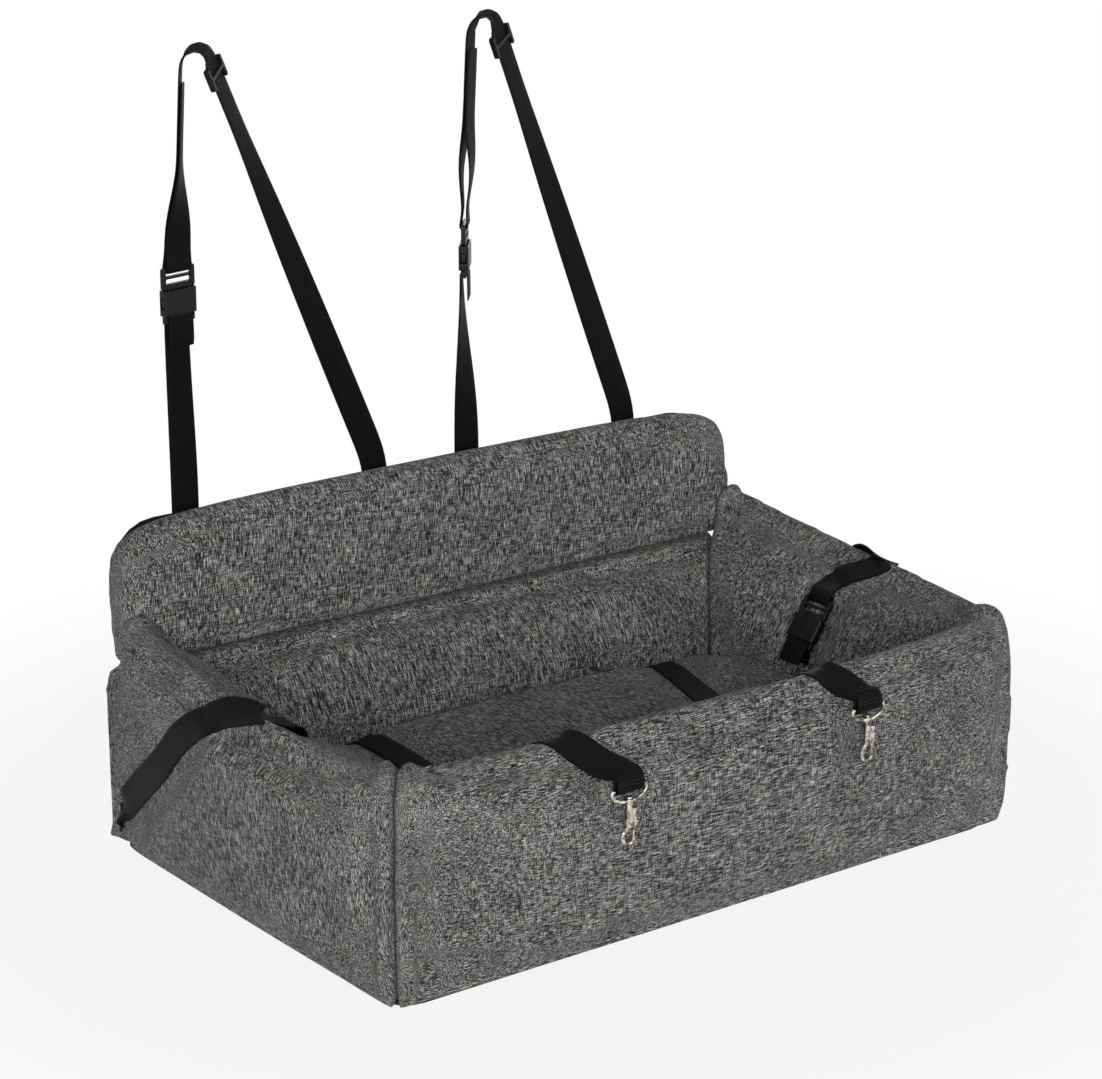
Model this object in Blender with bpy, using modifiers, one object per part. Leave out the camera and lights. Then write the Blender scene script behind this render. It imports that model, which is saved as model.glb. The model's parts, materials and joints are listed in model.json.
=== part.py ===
"""Dog car seat: a stuffed bolster seat with a back panel, headrest loops and safety tethers.

Lengths are metres, +Z is up, +X is to the right and -Y is the front that faces the car's
windscreen. The origin is on the floor in the middle of the footprint.
"""

import math

import bmesh
import bpy
from mathutils import Matrix, Vector
from mathutils.bvhtree import BVHTree

# Footprint on the car's bench
SEAT_WIDTH = 0.790
SEAT_DEPTH = 0.540
BASE_THICKNESS = 0.003
BASE_SETBACK = 0.012
BASE_CORNER_RADIUS = 0.030

# Clearances
TOUCH_GAP = 0.0003
SEAM_GAP = 0.0006
STRAP_LIFT = 0.0009
FILLING_INSET = 0.012
ROUNDING_SHARE = 0.34
LENGTH_ROUNDING_SHARE = 0.25
PANEL_SETTLE = 0.0009
PANEL_FILLING_RISE = 0.0023
SEAM_CREASE = 0.75

# Covers and webbing
COVER_WALL = 0.0024
BACKING_THICKNESS = 0.0015
WEBBING_WIDTH = 0.032
WEBBING_THICKNESS = 0.0016

# Side and front bolsters
BOLSTER_FOOT = 0.100
BOLSTER_BULGE = 0.034
FRONT_HEIGHT = 0.231
SIDE_MIDDLE_HEIGHT = 0.228
SIDE_REAR_HEIGHT = 0.262

# Back roll under the panel
ROLL_FOOT = 0.165
ROLL_HEIGHT = 0.204
ROLL_BULGE = 0.006
ROLL_CORNER_LAP = 0.045

# Back panel
PANEL_WIDTH = 0.794
PANEL_HEIGHT = 0.156
PANEL_THICKNESS = 0.043
PANEL_CORNER_RADIUS = 0.048
PANEL_SETBACK = 0.072
BACKING_SETBACK = 0.007

# Seat cushion
CUSHION_HEIGHT = 0.112
CUSHION_SIDE_GAP = 0.003

# Headrest loops, placed by their legs on the panel
LOOP_TOP_HEIGHT = 0.823
LOOP_FOLD_RADIUS = 0.018
LOOP_SEWN_LENGTH = 0.035
LOOP_TAIL_LENGTH = 0.026
LAYER_SPACING = 0.0026
LEFT_SHORT_LEG_X = -0.2975
LEFT_LONG_LEG_X = -0.062
LEFT_LOOP_TOP_X = -0.286
LEFT_LAYER_BOW = 0.0005
RIGHT_SHORT_LEG_X = 0.0585
RIGHT_LONG_LEG_X = 0.276
RIGHT_LOOP_TOP_X = 0.068
RIGHT_LAYER_BOW = 0.0045
TWIST_START = 0.12
TWIST_RUN = 0.42
BOW_START = 0.42
BAR_EASE = 0.016
LEG_TWIST_RUN = 0.82
HEADREST_BUCKLE_Z = 0.550
LEFT_LOOP_TURNS = [math.radians(turn) for turn in (10.0, 54.0, 36.0)]
RIGHT_LOOP_TURNS = [math.radians(turn) for turn in (50.0, 37.0, 26.0)]

# Tethers over the front bolster, as places across the seat
LEFT_TETHER_REAR_X = -0.187
LEFT_TETHER_RIDGE_X = -0.213
LEFT_HOOK_X = -0.156
LEFT_HOOK_DROP = 0.044
LEFT_TETHER_LEAVES = 156.0
RIGHT_TETHER_REAR_X = 0.206
RIGHT_TETHER_RIDGE_X = 0.106
RIGHT_HOOK_X = 0.146
RIGHT_HOOK_DROP = 0.030
RIGHT_TETHER_LEAVES = 134.0
TETHER_MEETS_WALL = 5.0
TETHER_DRIFT_START = 86.0
TETHER_DRIFT_RUN = 90.0
TETHER_FOLD_LENGTH = 0.024
TETHER_STANDOFF = 0.012
TETHER_MAT_SHORT = 0.026
MAT_EDGE_INSET = 0.028
MAT_EDGE_DEPTH = 0.024
MAT_EDGE_TURN = 25.0
MAT_EDGE_TURN_STEP = 15.0
CREST_SETBACK = 0.004
CREST_DEPTH = 0.035

# Side straps over the side bolsters
SIDE_STRAP_Y = -0.025
SIDE_STRAP_RIDGE_Y = -0.076
SIDE_STRAP_TOP_Y = 0.018
SIDE_STRAP_TOP_Z = 0.210
SIDE_STRAP_TURNS = (-30.0, 66.0, 113.0, 131.0)
SIDE_STRAP_FOOT_SETBACK = 0.020
SIDE_STRAP_FOOT_Z = 0.012
SIDE_STRAP_START_Z = 0.118
SIDE_BUCKLE_Z = 0.145
SIDE_TAIL_LENGTH = 0.020
STRAP_AXIS_INSET = 0.030
STRAP_AXIS_Z = 0.150
BUCKLE_STANDOFF = 0.010
BUCKLE_LEAVES = 0.023
GUIDE_REACH = 0.130
WRAP_REACH = 0.0040
WRAP_RISE = 0.0050
WRAP_LEAD = 0.0080

# Side-release buckles
BUCKLE_WIDTH = 0.042
BUCKLE_ROUND = 0.0024
BUCKLE_THICKNESS = 0.011
BUCKLE_WALL = 0.0018
BUCKLE_FRAME_THICKNESS = 0.005
BUCKLE_BAR = 0.0035
BUCKLE_SLOT = 0.0032
BUCKLE_SLOT_WIDTH = 0.0334
SOCKET_LENGTH = 0.0345
SOCKET_BACK = 0.0085
SOCKET_FLOOR = 0.0105
PLUG_BASE = 0.0062
PLUG_SLOT = 0.0050
PLUG_BAR = 0.0030
TONGUE_WIDTH = 0.010
TONGUE_THICKNESS = 0.004
TONGUE_LENGTH = 0.020
PRONG_LENGTH = 0.0258
PRONG_ROOT_RADIUS = 0.0022
PRONG_ROOT_X = 0.0137
PRONG_THICKNESS = 0.0052
PRONG_SHOULDER_RECESS = 0.0008
WINDOW_MARGIN = 0.001

# Tri-glides
GLIDE_WIDTH = 0.042
GLIDE_LENGTH = 0.024
GLIDE_BAR = 0.0034
GLIDE_BAR_THICKNESS = 0.0018
GLIDE_RAIL = 0.0042
GLIDE_CLEARANCE = 0.0004
GLIDE_DROP = 0.016

# Swivel snap hooks
EYE_WIRE_RADIUS = 0.0018
EYE_HALF_WIDTH = 0.0190
EYE_DROP = 0.0135
COLLAR_RADIUS = 0.0042
COLLAR_LENGTH = 0.006
STUD_RADIUS = 0.0017
STUD_HEAD_RADIUS = 0.0031
STUD_HEAD_LENGTH = 0.002
SWIVEL_CLEARANCE = 0.0004
SHANK_TOP_RADIUS = 0.0034
SHANK_RADIUS = 0.0045
SHANK_LENGTH = 0.0215
HOOK_LOOP_RADIUS = 0.0076
HOOK_WIRE_RADIUS = 0.0021
HOOK_MOUTH = 0.0105
HOOK_TURN_START = 125.0
BOLT_OFFSET = 0.0058
BOLT_RADIUS = 0.0014
BOLT_CLEARANCE = 0.0004
BARREL_RADIUS = 0.0031
BARREL_LENGTH = 0.0175
BOLT_TRAVEL = 0.0065
THUMB_RADIUS = 0.0011
THUMB_REACH = 0.0030
SPRING_RADIUS = 0.0012
SPRING_WIRE_RADIUS = 0.0003
SPRING_TURNS = 4

OVERRUN = 0.020
SIDES = {"left": -1, "right": 1}

# Where a laid strap is tried against the surface: rounds, along, over and across its width
LAY_ROUNDS = 3
BETWEEN_SHARES = (0.25, 0.5, 0.75)
SPREAD_SHARES = (-1.0, -0.5, 0.0, 0.5, 1.0)
ROW_SPREADS = ((-1, -1), (-1, 1), (0, 0), (1, -1), (1, 1))

# Outline of a wall of the seat: shares of the foot, of the bulge and of the height
WEDGE_SHARES = [
    (0.00, 0.00, 0.00), (0.00, 0.50, 0.25), (0.00, 0.95, 0.55), (0.00, 1.00, 0.82),
    (0.08, 0.85, 1.04), (0.24, 0.80, 1.03), (0.56, 0.62, 0.86), (0.86, 0.05, 0.60),
    (1.00, 0.00, 0.27), (1.00, 0.00, 0.00), (0.75, 0.00, 0.00), (0.25, 0.00, 0.00),
]
ROLL_SHARES = [
    (0.00, 0.00, 0.00), (0.00, 0.60, 0.30), (0.00, 1.00, 0.62), (0.03, 0.60, 0.93),
    (0.12, 0.00, 0.965), (0.29, 0.00, 1.00), (0.46, 0.00, 1.00), (0.62, 0.00, 0.90),
    (0.88, 0.00, 0.60), (1.00, 0.00, 0.28), (1.00, 0.00, 0.00), (0.80, 0.00, 0.00),
    (0.20, 0.00, 0.00),
]
WEDGE_LENGTH_SHARES = [(0.0, 0.0), (0.025, 0.10), (0.22, 0.80), (0.5, 1.0),
                       (0.78, 0.80), (0.975, 0.10), (1.0, 0.0)]
SIDE_LENGTH_SHARES = [(0.0, 0.0), (0.035, 0.10), (0.28, 0.90), (0.62, 1.0), (0.965, 0.55),
                      (1.0, 0.45)]
STEP_HEIGHT_SHARE = 0.70

# Round a flat bar, side-release prong and D eye outlines
WRAP_SHARES = [(1.0, 0.0), (1.0, 0.60), (0.62, 1.0), (-0.62, 1.0), (-1.0, 0.60), (-1.0, 0.0)]
PRONG_SHARES = [
    (-0.25, -0.13), (-0.25, -0.92), (0.07, -1.0), (0.45, -0.955), (1.0, -0.78),
    (1.0, -0.47), (0.82, -0.43), (0.28, -0.40), (0.28, -0.13),
]
EYE_SHARES = [
    (-1.00, 0.00), (1.00, 0.00), (1.08, -0.12), (1.08, -0.32), (0.90, -0.62), (0.50, -0.88),
    (0.00, -1.00), (-0.50, -0.88), (-0.90, -0.62), (-1.08, -0.32), (-1.08, -0.12),
]

# Outline of the back panel: shares of half the thickness, and of the height from the fold up
PANEL_SHARES = [
    (0.00, -1.00, 0.0), (-0.85, -0.62, 0.0), (-1.02, 0.10, 0.0), (-1.06, 0.0, 0.50),
    (-1.00, 0.0, 0.86), (-0.60, 0.0, 1.02), (0.60, 0.0, 1.02), (1.00, 0.0, 0.86),
    (1.00, 0.0, 0.50), (1.00, 0.10, 0.0), (0.85, -0.62, 0.0),
]
PANEL_LENGTH_SHARES = [(-1.0, 0.95), (-0.975, 0.35), (-0.88, 0.0), (0.0, 0.0), (0.88, 0.0),
                       (0.975, 0.35), (1.0, 0.95)]

# Outline of the seat cushion: shares of half the foot depth and of the height
CUSHION_SHARES = [
    (-1.00, 0.00), (-0.70, 0.00), (0.70, 0.00), (1.00, 0.00), (0.94, 0.48),
    (1.22, 1.05), (0.55, 1.07), (-0.55, 1.07), (-1.12, 1.00), (-1.00, 0.48),
]
CUSHION_LENGTH_SHARES = [(-1.0, 0.74, 0.98), (-0.965, 0.91, 0.99), (-0.78, 1.0, 1.0),
                         (0.0, 1.0, 1.09), (0.78, 1.0, 1.0), (0.965, 0.91, 0.99),
                         (1.0, 0.74, 0.98)]
CUSHION_FLARE_SHARE = 0.035

FINISHES = {
    "melange_fabric": ((0.105, 0.108, 0.102), 0.92, 0.0),
    "black_oxford": ((0.018, 0.018, 0.020), 0.85, 0.0),
    "black_webbing": ((0.014, 0.014, 0.017), 0.62, 0.0),
    "black_acetal": ((0.020, 0.020, 0.022), 0.38, 0.0),
    "nickel_plate": ((0.78, 0.73, 0.68), 0.16, 1.0),
    "polyester_filling": ((0.82, 0.82, 0.80), 0.95, 0.0),
}


def clear_scene():
    """Start from an empty scene."""
    for thing in list(bpy.data.objects):
        bpy.data.objects.remove(thing, do_unlink=True)


def make_collection(name):
    """Add a collection under the scene's own."""
    group = bpy.data.collections.new(name)
    bpy.context.scene.collection.children.link(group)
    return group


def finish(name):
    """Return the named finish as a material, made once."""
    if name in bpy.data.materials:
        return bpy.data.materials[name]
    colour, roughness, metallic = FINISHES[name]
    material = bpy.data.materials.new(name)
    material.use_nodes = True
    shader = material.node_tree.nodes["Principled BSDF"]
    shader.inputs["Base Color"].default_value = (*colour, 1.0)
    shader.inputs["Roughness"].default_value = roughness
    shader.inputs["Metallic"].default_value = metallic
    return material


def place(name, mesh, finish_name, parent=None, matrix=None):
    """Add a named part that carries the mesh."""
    part = bpy.data.objects.new(name, mesh)
    SEAT.objects.link(part)
    part.data.materials.clear()
    part.data.materials.append(finish(finish_name))
    if matrix is not None:
        part.matrix_world = matrix
    if parent is not None:
        part.parent = parent
        part.matrix_parent_inverse = parent.matrix_world.inverted()
    return part


def pivot(name, location):
    """Add an empty that marks a joint's axis."""
    empty = bpy.data.objects.new(name, None)
    SEAT.objects.link(empty)
    empty.location = location
    bpy.context.view_layer.update()
    return empty


def evaluated_mesh(part):
    """Return a plain copy of a part's mesh with its modifiers, doubles merged."""
    bpy.context.view_layer.update()
    graph = bpy.context.evaluated_depsgraph_get()
    mesh = bpy.data.meshes.new_from_object(part.evaluated_get(graph))
    shape = bmesh.new()
    shape.from_mesh(mesh)
    bmesh.ops.remove_doubles(shape, verts=shape.verts, dist=TOUCH_GAP / 30)
    shape.to_mesh(mesh)
    shape.free()
    return mesh


def surface_tree(parts):
    """Return one search tree over the finished surfaces of several parts."""
    bpy.context.view_layer.update()
    graph = bpy.context.evaluated_depsgraph_get()
    points, faces = [], []
    for part in parts:
        mesh = part.evaluated_get(graph).to_mesh()
        first = len(points)
        points += [part.matrix_world @ vert.co for vert in mesh.vertices]
        faces += [[first + index for index in face.vertices] for face in mesh.polygons]
        part.evaluated_get(graph).to_mesh_clear()
    return BVHTree.FromPolygons(points, faces)


# Soft forms

def cage_mesh(name, rings, left_out=None, crease=0.0):
    """Join rings of equal length into a closed cage; one quad can be left out.

    The crease keeps both ends and the outer foot edge of a wall sharp.
    """
    shape = bmesh.new()
    loops = [[shape.verts.new(point) for point in ring] for ring in rings]
    count = len(rings[0])
    for station, (near, far) in enumerate(zip(loops, loops[1:])):
        for index in range(count):
            after = (index + 1) % count
            shape.faces.new((near[index], near[after], far[after], far[index]))
    shape.faces.new(list(reversed(loops[0])))
    shape.faces.new(loops[-1])
    bmesh.ops.recalc_face_normals(shape, faces=shape.faces)
    if crease > 0:
        layer = shape.edges.layers.float.new("crease_edge")
        sharp = [set(loops[0]), set(loops[-1]), {loop[0] for loop in loops}]
        for edge in shape.edges:
            if any(set(edge.verts) <= line for line in sharp):
                edge[layer] = crease
    if left_out is not None:
        station, index = left_out
        corners = {loops[station][index], loops[station][(index + 1) % count],
                   loops[station + 1][index], loops[station + 1][(index + 1) % count]}
        gone = [face for face in shape.faces if set(face.verts) == corners]
        bmesh.ops.delete(shape, geom=gone, context="FACES_ONLY")
    mesh = bpy.data.meshes.new(name)
    shape.to_mesh(mesh)
    shape.free()
    mesh.shade_smooth()
    return mesh


def add_cover(name, rings, opening, crease=0.0, parent=None):
    """Add a sewn cover: a smoothed shell with its stuffing slit in the underside."""
    mesh = cage_mesh(name, rings, opening, crease)
    cover = place(name, mesh, "melange_fabric", parent)
    smooth = cover.modifiers.new("stuffed", "SUBSURF")
    smooth.levels = 1
    smooth.render_levels = 1
    wall = cover.modifiers.new("cloth", "SOLIDIFY")
    wall.thickness = COVER_WALL
    wall.offset = -1.0
    wall.use_even_offset = True
    return cover


def add_filling(name, rings, inset, parent=None, rise=0.0):
    """Add the loose filling of a cover: its rings drawn in, resting on the cover's floor."""
    drawn_in = []
    last = len(rings) - 1
    for station in [0] + list(range(2, last - 1)) + [last]:
        corners = [Vector(point) for point in rings[station]]
        before, after = rings[max(station - 1, 0)], rings[min(station + 1, last)]
        middle = sum(corners, Vector()) / len(corners)
        floor = min(point.z for point in corners)
        new_ring = []
        for index, point in enumerate(corners):
            near, far = corners[index - 1], corners[(index + 1) % len(corners)]
            moved = blend(point, (near + far) / 2, ROUNDING_SHARE)
            beside = (Vector(before[index]) + Vector(after[index])) / 2
            if 0 < station < last:
                moved += (beside - point) * LENGTH_ROUNDING_SHARE
            moved += (middle - moved).normalized() * inset
            if point.z <= floor + TOUCH_GAP:
                moved.z = floor + COVER_WALL + SEAM_GAP + rise
                if min(near.z, far.z) <= floor + TOUCH_GAP < max(near.z, far.z):
                    moved.z += inset
            new_ring.append(moved)
        drawn_in.append(new_ring)
    for end, inner in ((0, 1), (-1, -2)):
        step = sum((b - a for a, b in zip(drawn_in[end], drawn_in[inner])), Vector())
        step.z = 0.0
        step = step.normalized() * inset * 2
        drawn_in[end] = [point + step for point in drawn_in[end]]
    return place(name, cage_mesh(name, drawn_in), "polyester_filling", parent)


def outer_corner_y(inset):
    """Front mitre: how far back a wall's end lies for an inset from the outer face."""
    return -SEAT_DEPTH / 2 + inset


def rear_mitre_y(inset):
    """Rear mitre between a side bolster and the back roll, for an inset from the side."""
    start = SEAT_DEPTH / 2 - ROLL_CORNER_LAP
    finish_y = SEAT_DEPTH / 2 - ROLL_FOOT
    return start + (finish_y - start) * inset / BOLSTER_FOOT


def rear_mitre_inset(inset_from_rear):
    """The same mitre read from the roll: inset from the side for an inset from the rear."""
    run = (inset_from_rear - ROLL_CORNER_LAP) / (ROLL_FOOT - ROLL_CORNER_LAP)
    return max(run, 0.0) * BOLSTER_FOOT


def front_rings():
    """Cage of the front bolster, left end to right end."""
    rings = []
    for along, swell in WEDGE_LENGTH_SHARES:
        ring = []
        for foot, bulge, height in WEDGE_SHARES:
            inset = foot * BOLSTER_FOOT - bulge * swell * BOLSTER_BULGE
            reach = SEAT_WIDTH / 2 - max(inset, 0.0) - SEAM_GAP
            ring.append((reach * (2 * along - 1), -SEAT_DEPTH / 2 + inset,
                         FLOOR + height * FRONT_HEIGHT))
        rings.append(ring)
    return rings


def side_height(along):
    """Ridge height of a side bolster at a share of its length from the front."""
    if along < 0.5:
        return FRONT_HEIGHT + (SIDE_MIDDLE_HEIGHT - FRONT_HEIGHT) * along * 2
    return SIDE_MIDDLE_HEIGHT + (SIDE_REAR_HEIGHT - SIDE_MIDDLE_HEIGHT) * (along * 2 - 1)


def side_rings(side):
    """Cage of a side bolster, front end to rear end; it steps down behind the panel's face."""
    rings = []
    for along, swell in SIDE_LENGTH_SHARES:
        ring = []
        for foot, bulge, height in WEDGE_SHARES:
            inset = foot * BOLSTER_FOOT - bulge * swell * BOLSTER_BULGE
            front = outer_corner_y(max(inset, 0.0)) + SEAM_GAP
            rear = rear_mitre_y(inset) - SEAM_GAP
            if height > STEP_HEIGHT_SHARE:
                rear = min(rear, PANEL_FRONT_Y - SEAM_GAP * 4)
            ring.append((side * (SEAT_WIDTH / 2 - inset), front + (rear - front) * along,
                         FLOOR + height * side_height(along)))
        rings.append(ring)
    return rings


def roll_rings():
    """Cage of the back roll, left end to right end."""
    rings = []
    for along, swell in WEDGE_LENGTH_SHARES:
        ring = []
        for foot, bulge, height in ROLL_SHARES:
            inset = foot * ROLL_FOOT - bulge * swell * ROLL_BULGE
            reach = SEAT_WIDTH / 2 - rear_mitre_inset(inset) - SEAM_GAP
            ring.append((reach * (2 * along - 1), SEAT_DEPTH / 2 - inset,
                         FLOOR + height * ROLL_HEIGHT))
        rings.append(ring)
    return rings


def panel_rings():
    """Cage of the back panel, left end to right end, round at the fold it turns on."""
    half = PANEL_THICKNESS / 2
    rings = []
    for along, corner in PANEL_LENGTH_SHARES:
        drop = corner * PANEL_CORNER_RADIUS
        ring = []
        for depth, below, above in PANEL_SHARES:
            height = below * half + above * (PANEL_HEIGHT - half - drop)
            ring.append((along * PANEL_WIDTH / 2, FOLD_Y + depth * half, FOLD_Z + height))
        rings.append(ring)
    return rings


def cushion_rings():
    """Cage of the seat cushion, left end to right end, in the hollow between the walls."""
    front = -SEAT_DEPTH / 2 + BOLSTER_FOOT + CUSHION_SIDE_GAP
    rear = SEAT_DEPTH / 2 - ROLL_FOOT - CUSHION_SIDE_GAP
    half_width = SEAT_WIDTH / 2 - BOLSTER_FOOT - CUSHION_SIDE_GAP
    rings = []
    for along, plan, crown in CUSHION_LENGTH_SHARES:
        ring = []
        for depth, height in CUSHION_SHARES:
            flare = 1.0 + CUSHION_FLARE_SHARE * height * abs(along)
            ring.append((along * half_width * flare,
                         (front + rear) / 2 + depth * plan * (rear - front) / 2,
                         FLOOR + height * crown * CUSHION_HEIGHT))
        rings.append(ring)
    return rings


def rounded_rectangle(width, depth, radius, steps=4):
    """Points of a rounded rectangle round the origin."""
    points = []
    for quarter in range(4):
        turn = quarter * math.pi / 2
        sign_x = 1 if quarter in (0, 3) else -1
        sign_y = 1 if quarter in (0, 1) else -1
        centre = Vector((sign_x * (width / 2 - radius), sign_y * (depth / 2 - radius)))
        for step in range(steps + 1):
            angle = turn + step * math.pi / 2 / steps
            points.append(centre + radius * Vector((math.cos(angle), math.sin(angle))))
    return points


def plate_mesh(name, points, thickness):
    """Mesh of a flat outline in XY, extruded about its middle plane."""
    curve = bpy.data.curves.new(name, "CURVE")
    curve.dimensions = "2D"
    curve.fill_mode = "BOTH"
    curve.extrude = thickness / 2
    spline = curve.splines.new("POLY")
    spline.points.add(len(points) - 1)
    for target, point in zip(spline.points, points):
        target.co = (point[0], point[1], 0.0, 1.0)
    spline.use_cyclic_u = True
    holder = bpy.data.objects.new(name, curve)
    CUTTERS.objects.link(holder)
    mesh = evaluated_mesh(holder)
    bpy.data.objects.remove(holder, do_unlink=True)
    return mesh


def wire_mesh(name, points, radius, cyclic=False, resolution=1):
    """Mesh of a wire along points, capped where it is open."""
    curve = bpy.data.curves.new(name, "CURVE")
    curve.dimensions = "3D"
    curve.bevel_depth = radius
    curve.bevel_resolution = resolution
    curve.use_fill_caps = True
    spline = curve.splines.new("POLY")
    spline.points.add(len(points) - 1)
    for target, point in zip(spline.points, points):
        target.co = (*point, 1.0)
    spline.use_cyclic_u = cyclic
    holder = bpy.data.objects.new(name, curve)
    CUTTERS.objects.link(holder)
    mesh = evaluated_mesh(holder)
    bpy.data.objects.remove(holder, do_unlink=True)
    return mesh


def box_mesh(name, low, high):
    """Mesh of a box between two corners."""
    low, high = Vector(low), Vector(high)
    shape = bmesh.new()
    scale = Matrix.Diagonal((*(high - low), 1.0))
    bmesh.ops.create_cube(shape, size=1.0, matrix=Matrix.Translation((low + high) / 2) @ scale)
    mesh = bpy.data.meshes.new(name)
    shape.to_mesh(mesh)
    shape.free()
    return mesh


def rod_mesh(name, start, end, radius, end_radius=None, sides=12):
    """Mesh of a round rod or cone between two points."""
    start, end = Vector(start), Vector(end)
    axis = end - start
    turn = Vector((0, 0, 1)).rotation_difference(axis).to_matrix().to_4x4()
    shape = bmesh.new()
    bmesh.ops.create_cone(
        shape, cap_ends=True, segments=sides, radius1=radius,
        radius2=radius if end_radius is None else end_radius, depth=axis.length,
        matrix=Matrix.Translation((start + end) / 2) @ turn)
    mesh = bpy.data.meshes.new(name)
    shape.to_mesh(mesh)
    shape.free()
    return mesh


def combined(name, body, added=(), cut=()):
    """Join meshes to a body and cut others from it, all in the same local frame."""
    holder = bpy.data.objects.new(name, body)
    CUTTERS.objects.link(holder)
    helpers = []
    for operation, meshes in (("UNION", added), ("DIFFERENCE", cut)):
        for mesh in meshes:
            tool = bpy.data.objects.new(name + "_tool", mesh)
            tool.hide_render = True
            tool.display_type = "WIRE"
            CUTTERS.objects.link(tool)
            helpers.append(tool)
            step = holder.modifiers.new(operation.lower(), "BOOLEAN")
            step.operation = operation
            step.solver = "EXACT"
            step.object = tool
    mesh = evaluated_mesh(holder)
    mesh.name = name
    for thing in [holder] + helpers:
        bpy.data.objects.remove(thing, do_unlink=True)
    mesh.shade_smooth()
    mesh.set_sharp_from_angle(angle=math.radians(35))
    return mesh


# Webbing

def webbing(name, points, across, skewed=(), parent=None):
    """Add a strap along points; across gives its width direction at each of them.

    The rows named in skewed keep their direction, as where a strap is cut along a seam.
    """
    shape = bmesh.new()
    rows = []
    last = len(points) - 1
    for index, (point, wide) in enumerate(zip(points, across)):
        tangent = points[min(index + 1, last)] - points[max(index - 1, 0)]
        tangent.normalize()
        square = wide - tangent * wide.dot(tangent)
        if index in skewed:
            flat = wide / square.length * WEBBING_WIDTH / 2
        else:
            flat = square.normalized() * WEBBING_WIDTH / 2
        rows.append((shape.verts.new(point - flat), shape.verts.new(point + flat)))
    for (a, b), (c, d) in zip(rows, rows[1:]):
        shape.faces.new((a, b, d, c))
    mesh = bpy.data.meshes.new(name)
    shape.to_mesh(mesh)
    shape.free()
    strap = place(name, mesh, "black_webbing", parent)
    wall = strap.modifiers.new("weave", "SOLIDIFY")
    wall.thickness = WEBBING_THICKNESS
    wall.offset = 0.0
    wall.use_even_offset = True
    return strap


def clear_distance(tree, guide):
    """How far a strap can go along a guide before it lies on the surface."""
    outside, inward, wide = guide
    nearest = None
    for share in SPREAD_SHARES:
        start = outside + wide * share * WEBBING_WIDTH / 2
        hit = tree.ray_cast(start, inward)
        if hit[0] is not None and (nearest is None or hit[3] < nearest):
            nearest = hit[3]
    return nearest - WEBBING_THICKNESS / 2 - STRAP_LIFT


def excess_depth(tree, point, inward):
    """How much deeper a point of a strap lies than it may, along a direction."""
    hit = tree.ray_cast(point - inward * GUIDE_REACH, inward)
    if hit[0] is None:
        return 0.0
    return GUIDE_REACH + WEBBING_THICKNESS / 2 + STRAP_LIFT - hit[3]


def laid_on(tree, guides):
    """Lay a path on surfaces, clear of them over the strap's width and between points.

    Each guide is a point outside, the direction inward and the width direction.
    """
    points = [guide[0] + guide[1] * clear_distance(tree, guide) for guide in guides]
    for index in [*range(len(points) - 1)] * LAY_ROUNDS:
        first, second = guides[index], guides[index + 1]
        for share in BETWEEN_SHARES:
            way = blend(first[1], second[1], share).normalized()
            for near, far in ROW_SPREADS:
                start = points[index] + first[2] * near * WEBBING_WIDTH / 2
                end = points[index + 1] + second[2] * far * WEBBING_WIDTH / 2
                excess = excess_depth(tree, blend(start, end, share), way)
                if excess > 0:
                    scale = excess / ((1 - share) ** 2 + share ** 2)
                    points[index] -= first[1] * scale * (1 - share)
                    points[index + 1] -= second[1] * scale * share
    return points


def blend(first, second, share):
    """Straight mix of two vectors or numbers."""
    return first * (1 - share) + second * share


def smoothstep(share):
    """Ease a share from 0 to 1."""
    share = min(max(share, 0.0), 1.0)
    return share * share * (3 - 2 * share)


def shares_to_points(shares, across, along):
    """Scale a table of shares to flat points."""
    return [(first * across, second * along) for first, second in shares]


def frame(origin, across, along):
    """Frame with X over a strap's width, Z along it and Y out of its face."""
    up = along.normalized()
    wide = (across - up * across.dot(up)).normalized()
    out = up.cross(wide)
    matrix = Matrix((wide, out, up)).transposed().to_4x4()
    matrix.translation = origin
    return matrix


def turned_round(bar, out, along):
    """Strap centres round a flat bar, from its outer face past its edge to the other face."""
    return [bar + out * share * WRAP_REACH + along * rise * WRAP_RISE
            for share, rise in WRAP_SHARES]


# Buckles, tri-glides and hooks

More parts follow.
